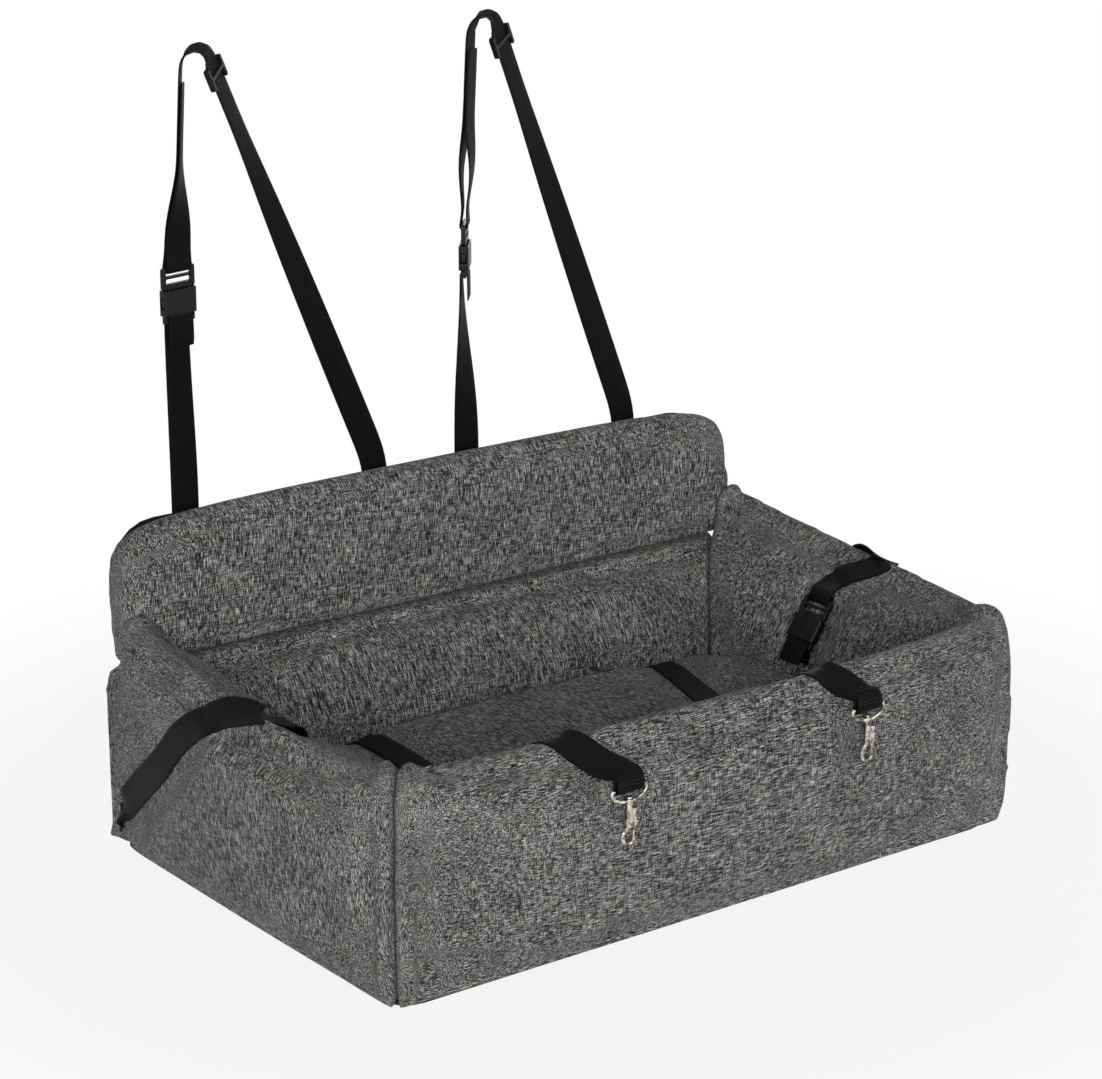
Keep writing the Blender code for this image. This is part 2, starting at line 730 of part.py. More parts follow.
def socket_mesh():
    """Socket of a side-release buckle; Z runs from its webbing bar to its mouth."""
    half_width = BUCKLE_WIDTH / 2
    inner_half = half_width - BUCKLE_WALL
    inner_thick = BUCKLE_THICKNESS / 2 - BUCKLE_WALL
    outline = rounded_rectangle(BUCKLE_WIDTH, BUCKLE_THICKNESS, BUCKLE_ROUND, 2)
    body = plate_mesh("socket_body", outline, SOCKET_LENGTH - SOCKET_BACK)
    body.transform(Matrix.Translation((0, 0, (SOCKET_LENGTH + SOCKET_BACK) / 2)))
    tab_half = half_width - BUCKLE_ROUND / 2
    tab = box_mesh("tab", (-tab_half, -BUCKLE_FRAME_THICKNESS / 2, 0),
                   (tab_half, BUCKLE_FRAME_THICKNESS / 2, SOCKET_BACK + BUCKLE_WALL))
    slot = box_mesh("slot", (-BUCKLE_SLOT_WIDTH / 2, -OVERRUN, BUCKLE_BAR),
                    (BUCKLE_SLOT_WIDTH / 2, OVERRUN, BUCKLE_BAR + BUCKLE_SLOT))
    hollow = box_mesh("hollow", (-inner_half, -inner_thick, SOCKET_FLOOR),
                      (inner_half, inner_thick, SOCKET_LENGTH + OVERRUN))
    top = PLUG_PIVOT + max(z for x, z in PRONG_SHARES if x == 1.0) * PRONG_LENGTH
    low = PLUG_PIVOT + min(z for x, z in PRONG_SHARES if x == 1.0) * PRONG_LENGTH
    tall = PRONG_THICKNESS / 2 + WINDOW_MARGIN / 2
    windows = []
    for side in SIDES.values():
        ends = sorted((side * (inner_half - BUCKLE_WALL), side * (half_width + OVERRUN)))
        windows.append(box_mesh("window", (ends[0], -tall, low - WINDOW_MARGIN * 2),
                                (ends[1], tall, top + WINDOW_MARGIN)))
    return combined("socket", body, [tab], [slot, hollow] + windows)


def plug_mesh():
    """Plug of a side-release buckle with its ladder bars and centre tongue."""
    length = PLUG_END - PLUG_START
    outline = rounded_rectangle(BUCKLE_WIDTH, length, BUCKLE_ROUND, 2)
    body = plate_mesh("plug_body", outline, BUCKLE_FRAME_THICKNESS)
    body.transform(Matrix.Translation((0, 0, (PLUG_START + PLUG_END) / 2))
                   @ Matrix.Rotation(math.pi / 2, 4, "X"))
    tongue = box_mesh("tongue", (-TONGUE_WIDTH / 2, -TONGUE_THICKNESS / 2,
                                 PLUG_START - TONGUE_LENGTH),
                      (TONGUE_WIDTH / 2, TONGUE_THICKNESS / 2, PLUG_START + PLUG_BAR))
    cuts = []
    for low, high in ((PLUG_LOW_SLOT, PLUG_LOW_SLOT + PLUG_SLOT),
                      (PLUG_END - BUCKLE_BAR - PLUG_SLOT, PLUG_END - BUCKLE_BAR)):
        cuts.append(box_mesh("slot", (-BUCKLE_SLOT_WIDTH / 2, -OVERRUN, low),
                             (BUCKLE_SLOT_WIDTH / 2, OVERRUN, high)))
    seat = PRONG_ROOT_RADIUS + TOUCH_GAP
    for side in SIDES.values():
        middle = side * PRONG_ROOT_X
        cuts.append(rod_mesh("seat", (middle, -OVERRUN, PLUG_PIVOT),
                             (middle, OVERRUN, PLUG_PIVOT), seat, sides=16))
        cuts.append(box_mesh("mouth", (middle - seat, -OVERRUN, PLUG_START - OVERRUN),
                             (middle + seat, OVERRUN, PLUG_PIVOT - seat / 2)))
    return combined("plug", body, [tongue], cuts)


def prong_mesh(side):
    """Spring prong of a plug about its root, with the catch that shows in the window."""
    outline = []
    for step in range(7):
        angle = math.radians(-20 + step * 220 / 6)
        outline.append((PRONG_ROOT_RADIUS * math.cos(angle),
                        PRONG_ROOT_RADIUS * math.sin(angle)))
    outline += shares_to_points(PRONG_SHARES, PRONG_CATCH_REACH, PRONG_LENGTH)
    mesh = plate_mesh("prong", outline, PRONG_THICKNESS)
    mesh.transform(Matrix.Rotation(math.pi / 2, 4, "X"))
    if side < 0:
        mesh.transform(Matrix.Rotation(math.pi, 4, "Z"))
    mesh.set_sharp_from_angle(angle=math.radians(35))
    return mesh


def buckle(prefix, matrix, parent=None):
    """Add a side-release buckle whose frame starts at the socket's webbing bar."""
    place(prefix + "_socket", socket_mesh(), "black_acetal", parent, matrix)
    place(prefix + "_plug", plug_mesh(), "black_acetal", parent, matrix)
    for label, side in SIDES.items():
        seat = matrix @ Matrix.Translation((side * PRONG_ROOT_X, 0, PLUG_PIVOT))
        place(f"{prefix}_prong_{label}", prong_mesh(side), "black_acetal", parent, seat)


def glide_mesh():
    """Tri-glide: side rails, end bars on one face of the strap, middle bar on the other."""
    reach = WEBBING_THICKNESS / 2 + GLIDE_CLEARANCE
    outline = rounded_rectangle(GLIDE_WIDTH, GLIDE_LENGTH, BUCKLE_ROUND, 2)
    body = plate_mesh("glide", outline, 2 * (reach + GLIDE_BAR_THICKNESS))
    body.transform(Matrix.Rotation(math.pi / 2, 4, "X"))
    half = GLIDE_WIDTH / 2 - GLIDE_RAIL
    inner = half - GLIDE_CLEARANCE
    end = GLIDE_LENGTH / 2 - GLIDE_BAR
    channel = box_mesh("channel", (-half, -reach, -OVERRUN), (half, reach, OVERRUN))
    back = box_mesh("back", (-inner, 0, -end), (inner, OVERRUN, end))
    fronts = [box_mesh("front", (-inner, -OVERRUN, min(low, high)),
                       (inner, 0, max(low, high)))
              for low, high in ((GLIDE_BAR / 2, OVERRUN), (-GLIDE_BAR / 2, -OVERRUN))]
    return combined("glide", body, cut=[channel, back] + fronts)


def eye_mesh():
    """D eye of a snap hook round its webbing bar, with the swivel collar below it."""
    points = [(x, 0, z) for x, z in shares_to_points(EYE_SHARES, EYE_HALF_WIDTH, EYE_DROP)]
    ring = wire_mesh("eye", points, EYE_WIRE_RADIUS, cyclic=True, resolution=2)
    collar = rod_mesh("collar", (0, 0, COLLAR_TOP - COLLAR_LENGTH), (0, 0, COLLAR_TOP),
                      COLLAR_RADIUS, sides=16)
    bore = rod_mesh("bore", (0, 0, COLLAR_TOP - COLLAR_LENGTH - OVERRUN),
                    (0, 0, COLLAR_TOP + STUD_HEAD_LENGTH),
                    STUD_RADIUS + SWIVEL_CLEARANCE, sides=16)
    return combined("eye", ring, [collar], [bore])


def hook_mesh():
    """Snap hook body: swivel stud, tapered shank, bolt barrel and hook."""
    shank_top = COLLAR_TOP - COLLAR_LENGTH - TOUCH_GAP
    shank_foot = shank_top - SHANK_LENGTH
    shank = rod_mesh("shank", (0, 0, shank_foot), (0, 0, shank_top), SHANK_RADIUS,
                     SHANK_TOP_RADIUS, sides=16)
    head_foot = COLLAR_TOP + TOUCH_GAP
    stud = rod_mesh("stud", (0, 0, shank_top - SHANK_RADIUS),
                    (0, 0, head_foot + STUD_HEAD_LENGTH / 2), STUD_RADIUS, sides=16)
    head = rod_mesh("head", (0, 0, head_foot), (0, 0, head_foot + STUD_HEAD_LENGTH),
                    STUD_HEAD_RADIUS, sides=16)
    barrel = rod_mesh("barrel", (BOLT_OFFSET, 0, BARREL_FOOT),
                      (BOLT_OFFSET, 0, BARREL_FOOT + BARREL_LENGTH), BARREL_RADIUS, sides=16)
    path = [(0, 0, shank_foot + SHANK_RADIUS), (-HOOK_WIRE_RADIUS / 2, 0, shank_foot)]
    turn_end = math.degrees(math.acos(BOLT_OFFSET / HOOK_LOOP_RADIUS))
    for step in range(9):
        angle = math.radians(blend(HOOK_TURN_START, 360 - turn_end, step / 8))
        path.append((HOOK_LOOP_RADIUS * math.cos(angle), 0,
                     HOOK_CENTRE + HOOK_LOOP_RADIUS * math.sin(angle)))
    path.append((BOLT_OFFSET, 0, HOOK_TIP))
    loop = wire_mesh("loop", path, HOOK_WIRE_RADIUS, resolution=2)
    bore = rod_mesh("bore", (BOLT_OFFSET, 0, BARREL_FOOT - TOUCH_GAP),
                    (BOLT_OFFSET, 0, BORE_TOP), BOLT_RADIUS + BOLT_CLEARANCE, sides=16)
    play = THUMB_RADIUS + BOLT_CLEARANCE
    slot = box_mesh("slot", (BOLT_OFFSET + play, -play, THUMB_Z - play),
                    (BOLT_OFFSET + OVERRUN, play, THUMB_Z + BOLT_TRAVEL + play))
    return combined("hook", shank, [stud, head, barrel, loop], [bore, slot])


def bolt_mesh():
    """Spring bolt that shuts the hook, with its thumb nub."""
    bolt = rod_mesh("bolt", (BOLT_OFFSET, 0, HOOK_TIP + TOUCH_GAP),
                    (BOLT_OFFSET, 0, BOLT_TOP), BOLT_RADIUS)
    thumb = rod_mesh("thumb", (BOLT_OFFSET, 0, THUMB_Z),
                     (BOLT_OFFSET + BARREL_RADIUS + THUMB_REACH, 0, THUMB_Z),
                     THUMB_RADIUS, sides=10)
    return combined("bolt", bolt, [thumb])


def spring_mesh():
    """Return spring between the bolt and the end of its bore."""
    low = BOLT_TOP + TOUCH_GAP + SPRING_WIRE_RADIUS
    high = BORE_TOP - TOUCH_GAP - SPRING_WIRE_RADIUS
    count = SPRING_TURNS * 8
    points = []
    for step in range(count + 1):
        angle = step * math.pi / 4
        points.append((SPRING_RADIUS * math.cos(angle), SPRING_RADIUS * math.sin(angle),
                       (high - low) * step / count))
    return wire_mesh("spring", points, SPRING_WIRE_RADIUS, resolution=0)


def snap_hook(label, centre):
    """Add a swivel snap hook hanging from the middle of its webbing bar."""
    matrix = Matrix.Translation(centre)
    prefix = f"hook_{label}"
    place(prefix + "_eye", eye_mesh(), "nickel_plate", None, matrix)
    place(prefix + "_body", hook_mesh(), "nickel_plate", None, matrix)
    place(prefix + "_bolt", bolt_mesh(), "nickel_plate", None, matrix)
    foot = BOLT_TOP + TOUCH_GAP + SPRING_WIRE_RADIUS
    place(prefix + "_spring", spring_mesh(), "nickel_plate", None,
          matrix @ Matrix.Translation((BOLT_OFFSET, 0, foot)))


# Straps in place

def strap_rows(tree, points, guides):
    """Width direction of a laid strap at each point, square to its run on the surface."""
    rows = []
    last = len(points) - 1
    for index, (outside, inward, _) in enumerate(guides):
        tangent = points[min(index + 1, last)] - points[max(index - 1, 0)]
        normal = tree.ray_cast(outside, inward)[1]
        rows.append(tangent.cross(normal - inward).normalized())
    return rows


def laid_square(tree, guides):
    """Lay a path, then again with its rows square to its run, and return both."""
    rows = strap_rows(tree, laid_on(tree, guides), guides)
    path = laid_on(tree, [(guide[0], guide[1], row) for guide, row in zip(guides, rows)])
    return path, rows


def tether_guides(places, edge):
    """Guides of a tether: round the mat's rear edge, over the mat and over the wall's crest."""
    rear_x, ridge_x, hook_x, _, leaves = places
    wide = Vector((1, 0, 0))
    guides = []
    for step in range(4):
        angle = math.radians(MAT_EDGE_TURN + MAT_EDGE_TURN_STEP * step)
        way = Vector((0, math.cos(angle), math.sin(angle)))
        guides.append((edge + way * GUIDE_REACH, -way, wide))
    mat_end = -SEAT_DEPTH / 2 + BOLSTER_FOOT + TETHER_MAT_SHORT
    for step in range(7):
        share = step / 6
        start = Vector((blend(rear_x, ridge_x, share), blend(edge.y, mat_end, share),
                        CUSHION_HEIGHT + GUIDE_REACH))
        guides.append((start, Vector((0, 0, -1)), wide))
    crest = Vector((0, -SEAT_DEPTH / 2 + CREST_SETBACK, FRONT_HEIGHT - CREST_DEPTH))
    for step in range(17):
        degrees = blend(TETHER_MEETS_WALL, leaves, step / 16)
        angle = math.radians(degrees)
        way = Vector((0, math.cos(angle), math.sin(angle)))
        drift = min(max((degrees - TETHER_DRIFT_START) / TETHER_DRIFT_RUN, 0.0), 1.0)
        drift = (drift + smoothstep(drift)) / 2
        start = crest + Vector((blend(ridge_x, hook_x, drift), 0, 0)) + way * GUIDE_REACH
        guides.append((start, -way, wide))
    return guides


def tether(label, tree):
    """Lay a tether from the back of the mat over the front bolster to its hook."""
    rear_x, _, hook_x, hook_z, _ = TETHER_PLACES[label]
    wide = Vector((1, 0, 0))
    edge = Vector((rear_x, SEAT_DEPTH / 2 - ROLL_FOOT - MAT_EDGE_INSET,
                   CUSHION_HEIGHT - MAT_EDGE_DEPTH))
    bar = Vector((hook_x, TETHER_BAR_Y, hook_z))
    out = Vector((0, 1, 0))
    reach = EYE_WIRE_RADIUS + TOUCH_GAP + WEBBING_THICKNESS / 2
    low = bar + out * LAYER_SPACING / 2 + Vector((0, 0, reach * 3))
    guides = tether_guides(TETHER_PLACES[label], edge)
    laid = len(guides)
    hang_top = laid_on(tree, guides)[-1]
    for step in range(1, 5):
        share = step / 5
        x = blend(hang_top.x, low.x, math.sin(share * math.pi / 2))
        start = Vector((x, TETHER_BAR_Y - GUIDE_REACH, blend(hang_top.z, low.z, share)))
        guides.append((start, out, wide))
    points, across = laid_square(tree, guides)
    for step, point in enumerate(points[laid:], 1):
        point.y = min(point.y, blend(hang_top.y, low.y, step / 5))
    points.append(low)
    for step in range(7):
        angle = math.pi * step / 6
        points.append(bar + out * reach * math.cos(angle)
                      - Vector((0, 0, 1)) * reach * math.sin(angle))
    points.append(low - out * LAYER_SPACING)
    points.append(low - out * LAYER_SPACING + Vector((0, 0, TETHER_FOLD_LENGTH)))
    across += [wide] * (len(points) - len(across))
    webbing(f"tether_strap_{label}", points, across)
    snap_hook(label, bar)


def side_strap_guides(side):
    """Guides of a side strap: up the inner face, over the ridge and down to the rear foot."""
    axis = Vector((side * (SEAT_WIDTH / 2 - STRAP_AXIS_INSET), 0, STRAP_AXIS_Z))
    row = Vector((0, -side, 0))
    guides = []
    start, forward, ridge, behind = SIDE_STRAP_TURNS
    stops = [blend(start, forward, step / 9) for step in range(9)]
    stops += [blend(forward, behind, step / 20) for step in range(21)]
    for degrees in stops:
        angle = math.radians(degrees)
        way = Vector((-side * math.cos(angle), 0, math.sin(angle)))
        if degrees < ridge:
            share = smoothstep((degrees - forward) / (ridge - forward))
            y = blend(SIDE_STRAP_Y, SIDE_STRAP_RIDGE_Y, share)
        else:
            share = smoothstep((degrees - ridge) / (behind - ridge))
            y = blend(SIDE_STRAP_RIDGE_Y, SIDE_STRAP_TOP_Y, share)
        guides.append((axis + Vector((0, y, 0)) + way * GUIDE_REACH, -way, row))
    for step in range(1, 14):
        share = step / 13
        y = blend(SIDE_STRAP_TOP_Y, SEAT_DEPTH / 2 - SIDE_STRAP_FOOT_SETBACK, share)
        z = blend(SIDE_STRAP_TOP_Z, SIDE_STRAP_FOOT_Z, share)
        guides.append((Vector((axis.x + side * GUIDE_REACH, y, z)), Vector((-side, 0, 0)), row))
    return guides


def side_strap(label, side, tree):
    """Lay a side strap in two lengths over a side bolster, with its buckle between them."""
    row = Vector((0, -side, 0))
    guides = side_strap_guides(side)
    path, rows = laid_square(tree, guides)
    run = (path[-1] - path[-2]).normalized()
    rows[-1] = row / math.sqrt(1 - row.dot(run) ** 2)
    path = laid_on(tree, [(guide[0], guide[1], wide) for guide, wide in zip(guides, rows)])

    low = point_at_height(path, SIDE_BUCKLE_Z)
    high = point_at_distance(path, low, PLUG_END)
    along = (high - low).normalized()
    out = along.cross(Vector((0, side, 0)))
    proud = max((point - low).dot(out) for point in path
                if 0 <= (point - low).dot(along) <= PLUG_END)
    origin = low + out * (proud + BUCKLE_THICKNESS / 2 + STRAP_LIFT)
    matrix = frame(origin, Vector((0, side, 0)), along)
    face = matrix.col[1].to_3d()
    bar_row = -matrix.col[0].to_3d()
    buckle(f"side_buckle_{label}", matrix)

    top = origin + along * PLUG_END
    below, above = [], []
    for point, wide in zip(path, rows):
        if point.z > SIDE_STRAP_START_Z and (point - origin).dot(along) < -BUCKLE_STANDOFF:
            below.append((point, wide))
        elif above or (point - top).dot(along) > BUCKLE_LEAVES:
            above.append((point, wide))
    below = [(point, wide) for point, wide in below if point.z < low.z]
    wrap = turned_round(origin, -face, along)
    tail = [wrap[-1] - along * share * SIDE_TAIL_LENGTH for share in (0.5, 1.0)]
    rounded = wrap + tail
    webbing(f"side_strap_{label}_inner", [point for point, wide in below] + rounded,
            [wide for point, wide in below] + [bar_row] * len(rounded))

    wrap = turned_round(top, -face, -along)
    tail = [wrap[-1] + along * share * SIDE_TAIL_LENGTH for share in (0.5, 1.0)]
    rounded = list(reversed(tail)) + list(reversed(wrap)) + [wrap[0] + along * WRAP_LEAD]
    across = [bar_row] * len(rounded) + [wide for point, wide in above]
    webbing(f"side_strap_{label}_outer", rounded + [point for point, wide in above], across,
            {len(rounded) - 1, len(across) - 1})


def point_at_height(points, height):
    """Point of a rising path at a height."""
    for first, second in zip(points, points[1:]):
        if first.z <= height <= second.z:
            return blend(first, second, (height - first.z) / (second.z - first.z))
    return points[-1]


def point_at_distance(points, start, distance):
    """Point of a path at a straight distance from a start, beyond it."""
    for first, second in zip(points, points[1:]):
        near, far = (first - start).length, (second - start).length
        if second.z > start.z and near <= distance <= far:
            return blend(first, second, (distance - near) / (far - near))
    return points[-1]


def tangent_point(outside, centre, radius, side):
    """Where the tangent from an outside point touches a circle in the XZ plane."""
    gap = outside - centre
    distance = math.hypot(gap.x, gap.z)
    heading = math.atan2(gap.z, gap.x) + side * math.acos(radius / distance)
    return centre + Vector((math.cos(heading), 0, math.sin(heading))) * radius


def headrest_loop(label, places, turns, bow, parent):
    """Add a headrest loop: short leg with the socket, long strap through the plug's bar.

    Places are the short leg, the long leg and the top across the seat; turns are those of
    the buckle, of the strap where it folds and of the long leg below the fold.
    """
    short_x, long_x, top_x = places
    turn, top_turn, leg_turn = turns
    sewn = PANEL_TOP - LOOP_SEWN_LENGTH
    flat = Vector((1, 0, 0))
    up = Vector((0, 0, 1))
    across_buckle = Vector((math.cos(turn), math.sin(turn), 0))
    face = Vector((-math.sin(turn), math.cos(turn), 0))
    foot = Vector((short_x, LOOP_Y, HEADREST_BUCKLE_Z))
    buckle(f"headrest_buckle_{label}", frame(foot, across_buckle, up), parent)

    points, across = [], []
    for step in range(10):
        share = step / 9
        height = blend(sewn, HEADREST_BUCKLE_Z - WRAP_RISE, share)
        ease = smoothstep((height - PANEL_TOP) / (HEADREST_BUCKLE_Z - PANEL_TOP))
        points.append(Vector((short_x, LOOP_Y, height)) + face * WRAP_REACH * ease)
        lean = turn * ease
        across.append(Vector((math.cos(lean), math.sin(lean), 0)))
    wrap = turned_round(foot, face, up)
    points += wrap
    points += [wrap[-1] - up * share * LOOP_TAIL_LENGTH for share in (0.5, 1.0)]
    across += [across_buckle] * (len(points) - len(across))
    webbing(f"headrest_strap_{label}_short", points, across, parent=parent)

    top_bar = foot + up * PLUG_END
    centre = Vector((top_x + LOOP_FOLD_RADIUS, LOOP_Y, LOOP_TOP_HEIGHT - LOOP_FOLD_RADIUS))
    anchor = Vector((long_x, LOOP_Y, PANEL_TOP))
    near = tangent_point(anchor, centre, LOOP_FOLD_RADIUS, 1)
    away = tangent_point(top_bar, centre, LOOP_FOLD_RADIUS, -1)
    points, across = [Vector((long_x, LOOP_Y, sewn))], [flat]
    for step in range(13):
        share = step / 12
        points.append(blend(anchor, near, share))
        twist = leg_turn * min(share / LEG_TWIST_RUN, 1.0) ** 2
        across.append(Vector((math.cos(twist), math.sin(twist), 0)))
    first = math.atan2(near.z - centre.z, near.x - centre.x)
    last = math.atan2(away.z - centre.z, away.x - centre.x) % (2 * math.pi)
    for step in range(1, 8):
        angle = blend(first, last, step / 8)
        points.append(centre + Vector((math.cos(angle), 0, math.sin(angle)))
                      * LOOP_FOLD_RADIUS)
        twist = blend(leg_turn, top_turn, step / 8)
        across.append(Vector((math.cos(twist), math.sin(twist), 0)))
    outer, inner, rows = [], [], []
    run = (away - top_bar).length
    start_normal = Vector((-math.sin(top_turn), math.cos(top_turn), 0))
    start = away - start_normal * LAYER_SPACING / 2
    for step in range(15):
        share = step / 14
        height = run * (1 - share)
        twist = blend(turn, top_turn, smoothstep((height / run - TWIST_START) / TWIST_RUN))
        row = Vector((math.cos(twist), math.sin(twist), 0))
        normal = Vector((-math.sin(twist), math.cos(twist), 0))
        near_bar = smoothstep(1 - height / BAR_EASE)
        spread = blend(LAYER_SPACING / 2, WRAP_REACH, near_bar)
        low_part = max(share - BOW_START, 0) / (1 - BOW_START)
        belly = bow * math.sin(math.pi * low_part) ** 2
        line = blend(start, top_bar, share)
        outer.append(line + normal * (spread + belly))
        inner.append(line - normal * (spread + belly))
        rows.append(row)
    wrap = turned_round(top_bar, face, -up)
    inner.reverse()
    points += outer + wrap[1:-1] + inner[:-1]
    across += rows + [across_buckle] * (len(wrap) - 2) + list(reversed(rows))[:-1]
    webbing(f"headrest_strap_{label}_long", points, across, parent=parent)

    way = (near - anchor).normalized()
    seat = near - way * GLIDE_DROP
    place(f"glide_{label}", glide_mesh(), "black_acetal", parent,
          frame(seat, Vector((math.cos(leg_turn), math.sin(leg_turn), 0)), way))


FLOOR = BASE_THICKNESS + TOUCH_GAP
PANEL_FRONT_Y = SEAT_DEPTH / 2 - PANEL_SETBACK
FOLD_Y = PANEL_FRONT_Y + PANEL_THICKNESS / 2
FOLD_Z = FLOOR + ROLL_HEIGHT + PANEL_THICKNESS / 2 + TOUCH_GAP - PANEL_SETTLE
PANEL_TOP = FOLD_Z - PANEL_THICKNESS / 2 + PANEL_HEIGHT
BACKING_Y = PANEL_FRONT_Y + PANEL_THICKNESS + TOUCH_GAP
LOOP_Y = BACKING_Y + BACKING_THICKNESS + TOUCH_GAP + WEBBING_THICKNESS / 2
TETHER_BAR_Y = -SEAT_DEPTH / 2 - BOLSTER_BULGE - TETHER_STANDOFF
PLUG_START = SOCKET_LENGTH + TOUCH_GAP
PLUG_PIVOT = PLUG_START + PRONG_ROOT_RADIUS + BUCKLE_WALL / 2
PLUG_LOW_SLOT = PLUG_START + PLUG_BASE
PLUG_END = PLUG_LOW_SLOT + 2 * PLUG_SLOT + PLUG_BAR + BUCKLE_BAR
PRONG_CATCH_REACH = BUCKLE_WIDTH / 2 - PRONG_SHOULDER_RECESS - PRONG_ROOT_X
COLLAR_TOP = -EYE_DROP + COLLAR_LENGTH / 2
BARREL_FOOT = COLLAR_TOP - COLLAR_LENGTH - SHANK_LENGTH
BORE_TOP = BARREL_FOOT + BARREL_LENGTH - BOLT_RADIUS
HOOK_CENTRE = BARREL_FOOT - HOOK_MOUTH
HOOK_TIP = HOOK_CENTRE - HOOK_WIRE_RADIUS
THUMB_Z = BARREL_FOOT + THUMB_RADIUS * 2
BOLT_TOP = THUMB_Z + THUMB_RADIUS + BOLT_RADIUS
TETHER_PLACES = {
    "left": (LEFT_TETHER_REAR_X, LEFT_TETHER_RIDGE_X, LEFT_HOOK_X, FRONT_HEIGHT - LEFT_HOOK_DROP,
             LEFT_TETHER_LEAVES),
    "right": (RIGHT_TETHER_REAR_X, RIGHT_TETHER_RIDGE_X, RIGHT_HOOK_X, FRONT_HEIGHT - RIGHT_HOOK_DROP,
              RIGHT_TETHER_LEAVES),
}

clear_scene()
SEAT = make_collection("dog_car_seat")
CUTTERS = make_collection("cutters")

base_outline = rounded_rectangle(SEAT_WIDTH - 2 * BASE_SETBACK, SEAT_DEPTH - 2 * BASE_SETBACK,
                                 BASE_CORNER_RADIUS)
place("base_underside", plate_mesh("base_underside", base_outline, BASE_THICKNESS),
      "black_oxford", matrix=Matrix.Translation((0, 0, BASE_THICKNESS / 2)))

walls = {"front_bolster": front_rings(), "left_bolster": side_rings(-1),
         "right_bolster": side_rings(1), "back_roll": roll_rings()}
covers = {}
for wall_name, rings in walls.items():
    covers[wall_name] = add_cover(wall_name + "_cover", rings,
                                  (len(rings) // 2 - 1, len(rings[0]) - 2), SEAM_CREASE)
    add_filling(wall_name + "_filling", rings, FILLING_INSET)
cushion = cushion_rings()
covers["seat_cushion"] = add_cover("seat_cushion_cover", cushion, (len(cushion) // 2 - 1, 1))
add_filling("seat_cushion_filling", cushion, FILLING_INSET)

fold = pivot("back_panel_fold_axis", (0, FOLD_Y, FOLD_Z))
panel = panel_rings()
covers["back_panel"] = add_cover("back_panel_cover", panel, (len(panel) // 2 - 1, 0),
                                 parent=fold)
add_filling("back_panel_filling", panel, FILLING_INSET, fold, PANEL_FILLING_RISE)
backing_height = PANEL_HEIGHT - PANEL_THICKNESS
backing_mesh = plate_mesh(
    "backing", rounded_rectangle(PANEL_WIDTH - 2 * BACKING_SETBACK, backing_height,
                                 PANEL_CORNER_RADIUS, 5), BACKING_THICKNESS)
backing_mesh.transform(Matrix.Rotation(math.pi / 2, 4, "X"))
place("back_panel_backing", backing_mesh, "black_oxford", fold, Matrix.Translation(
    (0, BACKING_Y + BACKING_THICKNESS / 2, PANEL_TOP - BACKING_SETBACK - backing_height / 2)))

mat_and_front = surface_tree([covers["seat_cushion"], covers["front_bolster"]])
for label, side in SIDES.items():
    tether(label, mat_and_front)
    side_strap(label, side, surface_tree([covers[label + "_bolster"], covers["back_roll"]]))
headrest_loop("left", (LEFT_SHORT_LEG_X, LEFT_LONG_LEG_X, LEFT_LOOP_TOP_X), LEFT_LOOP_TURNS,
              LEFT_LAYER_BOW, fold)
headrest_loop("right", (RIGHT_SHORT_LEG_X, RIGHT_LONG_LEG_X, RIGHT_LOOP_TOP_X),
              RIGHT_LOOP_TURNS, RIGHT_LAYER_BOW, fold)
CUTTERS.hide_render = True
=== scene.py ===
"""Dressed model of a bolstered dog car seat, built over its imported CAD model."""

import heapq
import json
import logging
import math
from dataclasses import dataclass, field
from enum import Enum
from typing import Iterable, Sequence

import bmesh
import bpy
import numpy as np
from mathutils import Matrix, Vector, noise
from mathutils.bvhtree import BVHTree

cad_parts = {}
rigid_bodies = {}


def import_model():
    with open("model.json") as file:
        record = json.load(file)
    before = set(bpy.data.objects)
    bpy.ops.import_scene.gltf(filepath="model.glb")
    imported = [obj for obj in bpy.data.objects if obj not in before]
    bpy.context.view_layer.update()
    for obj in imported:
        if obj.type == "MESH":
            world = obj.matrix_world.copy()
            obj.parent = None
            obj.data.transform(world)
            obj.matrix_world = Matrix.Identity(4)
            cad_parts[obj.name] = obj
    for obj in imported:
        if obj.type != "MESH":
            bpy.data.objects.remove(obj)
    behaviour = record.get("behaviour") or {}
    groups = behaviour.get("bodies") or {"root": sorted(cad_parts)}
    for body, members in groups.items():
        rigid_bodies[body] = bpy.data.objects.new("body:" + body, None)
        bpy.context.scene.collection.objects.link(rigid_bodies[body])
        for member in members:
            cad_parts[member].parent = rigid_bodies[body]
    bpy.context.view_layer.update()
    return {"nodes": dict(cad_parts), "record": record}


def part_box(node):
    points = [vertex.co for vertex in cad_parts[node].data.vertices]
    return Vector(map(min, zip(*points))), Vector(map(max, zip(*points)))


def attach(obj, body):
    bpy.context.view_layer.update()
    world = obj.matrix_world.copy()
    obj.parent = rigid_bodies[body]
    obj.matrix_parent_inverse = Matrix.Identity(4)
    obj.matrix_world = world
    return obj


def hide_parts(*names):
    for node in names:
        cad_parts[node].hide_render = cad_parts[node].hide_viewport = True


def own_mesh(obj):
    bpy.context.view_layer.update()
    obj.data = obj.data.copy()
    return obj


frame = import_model()
LOG = logging.getLogger("dog_car_seat")
Tree = bpy.types.NodeTree
Socket = bpy.types.NodeSocket

# How far a search for a near surface goes, and how close corners are merged, in metres
SEARCH_REACH = 0.06
MERGE_DISTANCE = 1e-6
# How much more each second round of evening out pushes back than the first one moved
PUSH_BACK = 1.02
# How many samples a spline takes from one given point to the next
SPAN_SAMPLES = 24
# The least length that counts as more than nothing
TINY = 1e-9


class Body(Enum):
    """The moving bodies that more than one piece rides on."""

    SEAT = "seat"
    PANEL = "back_panel"


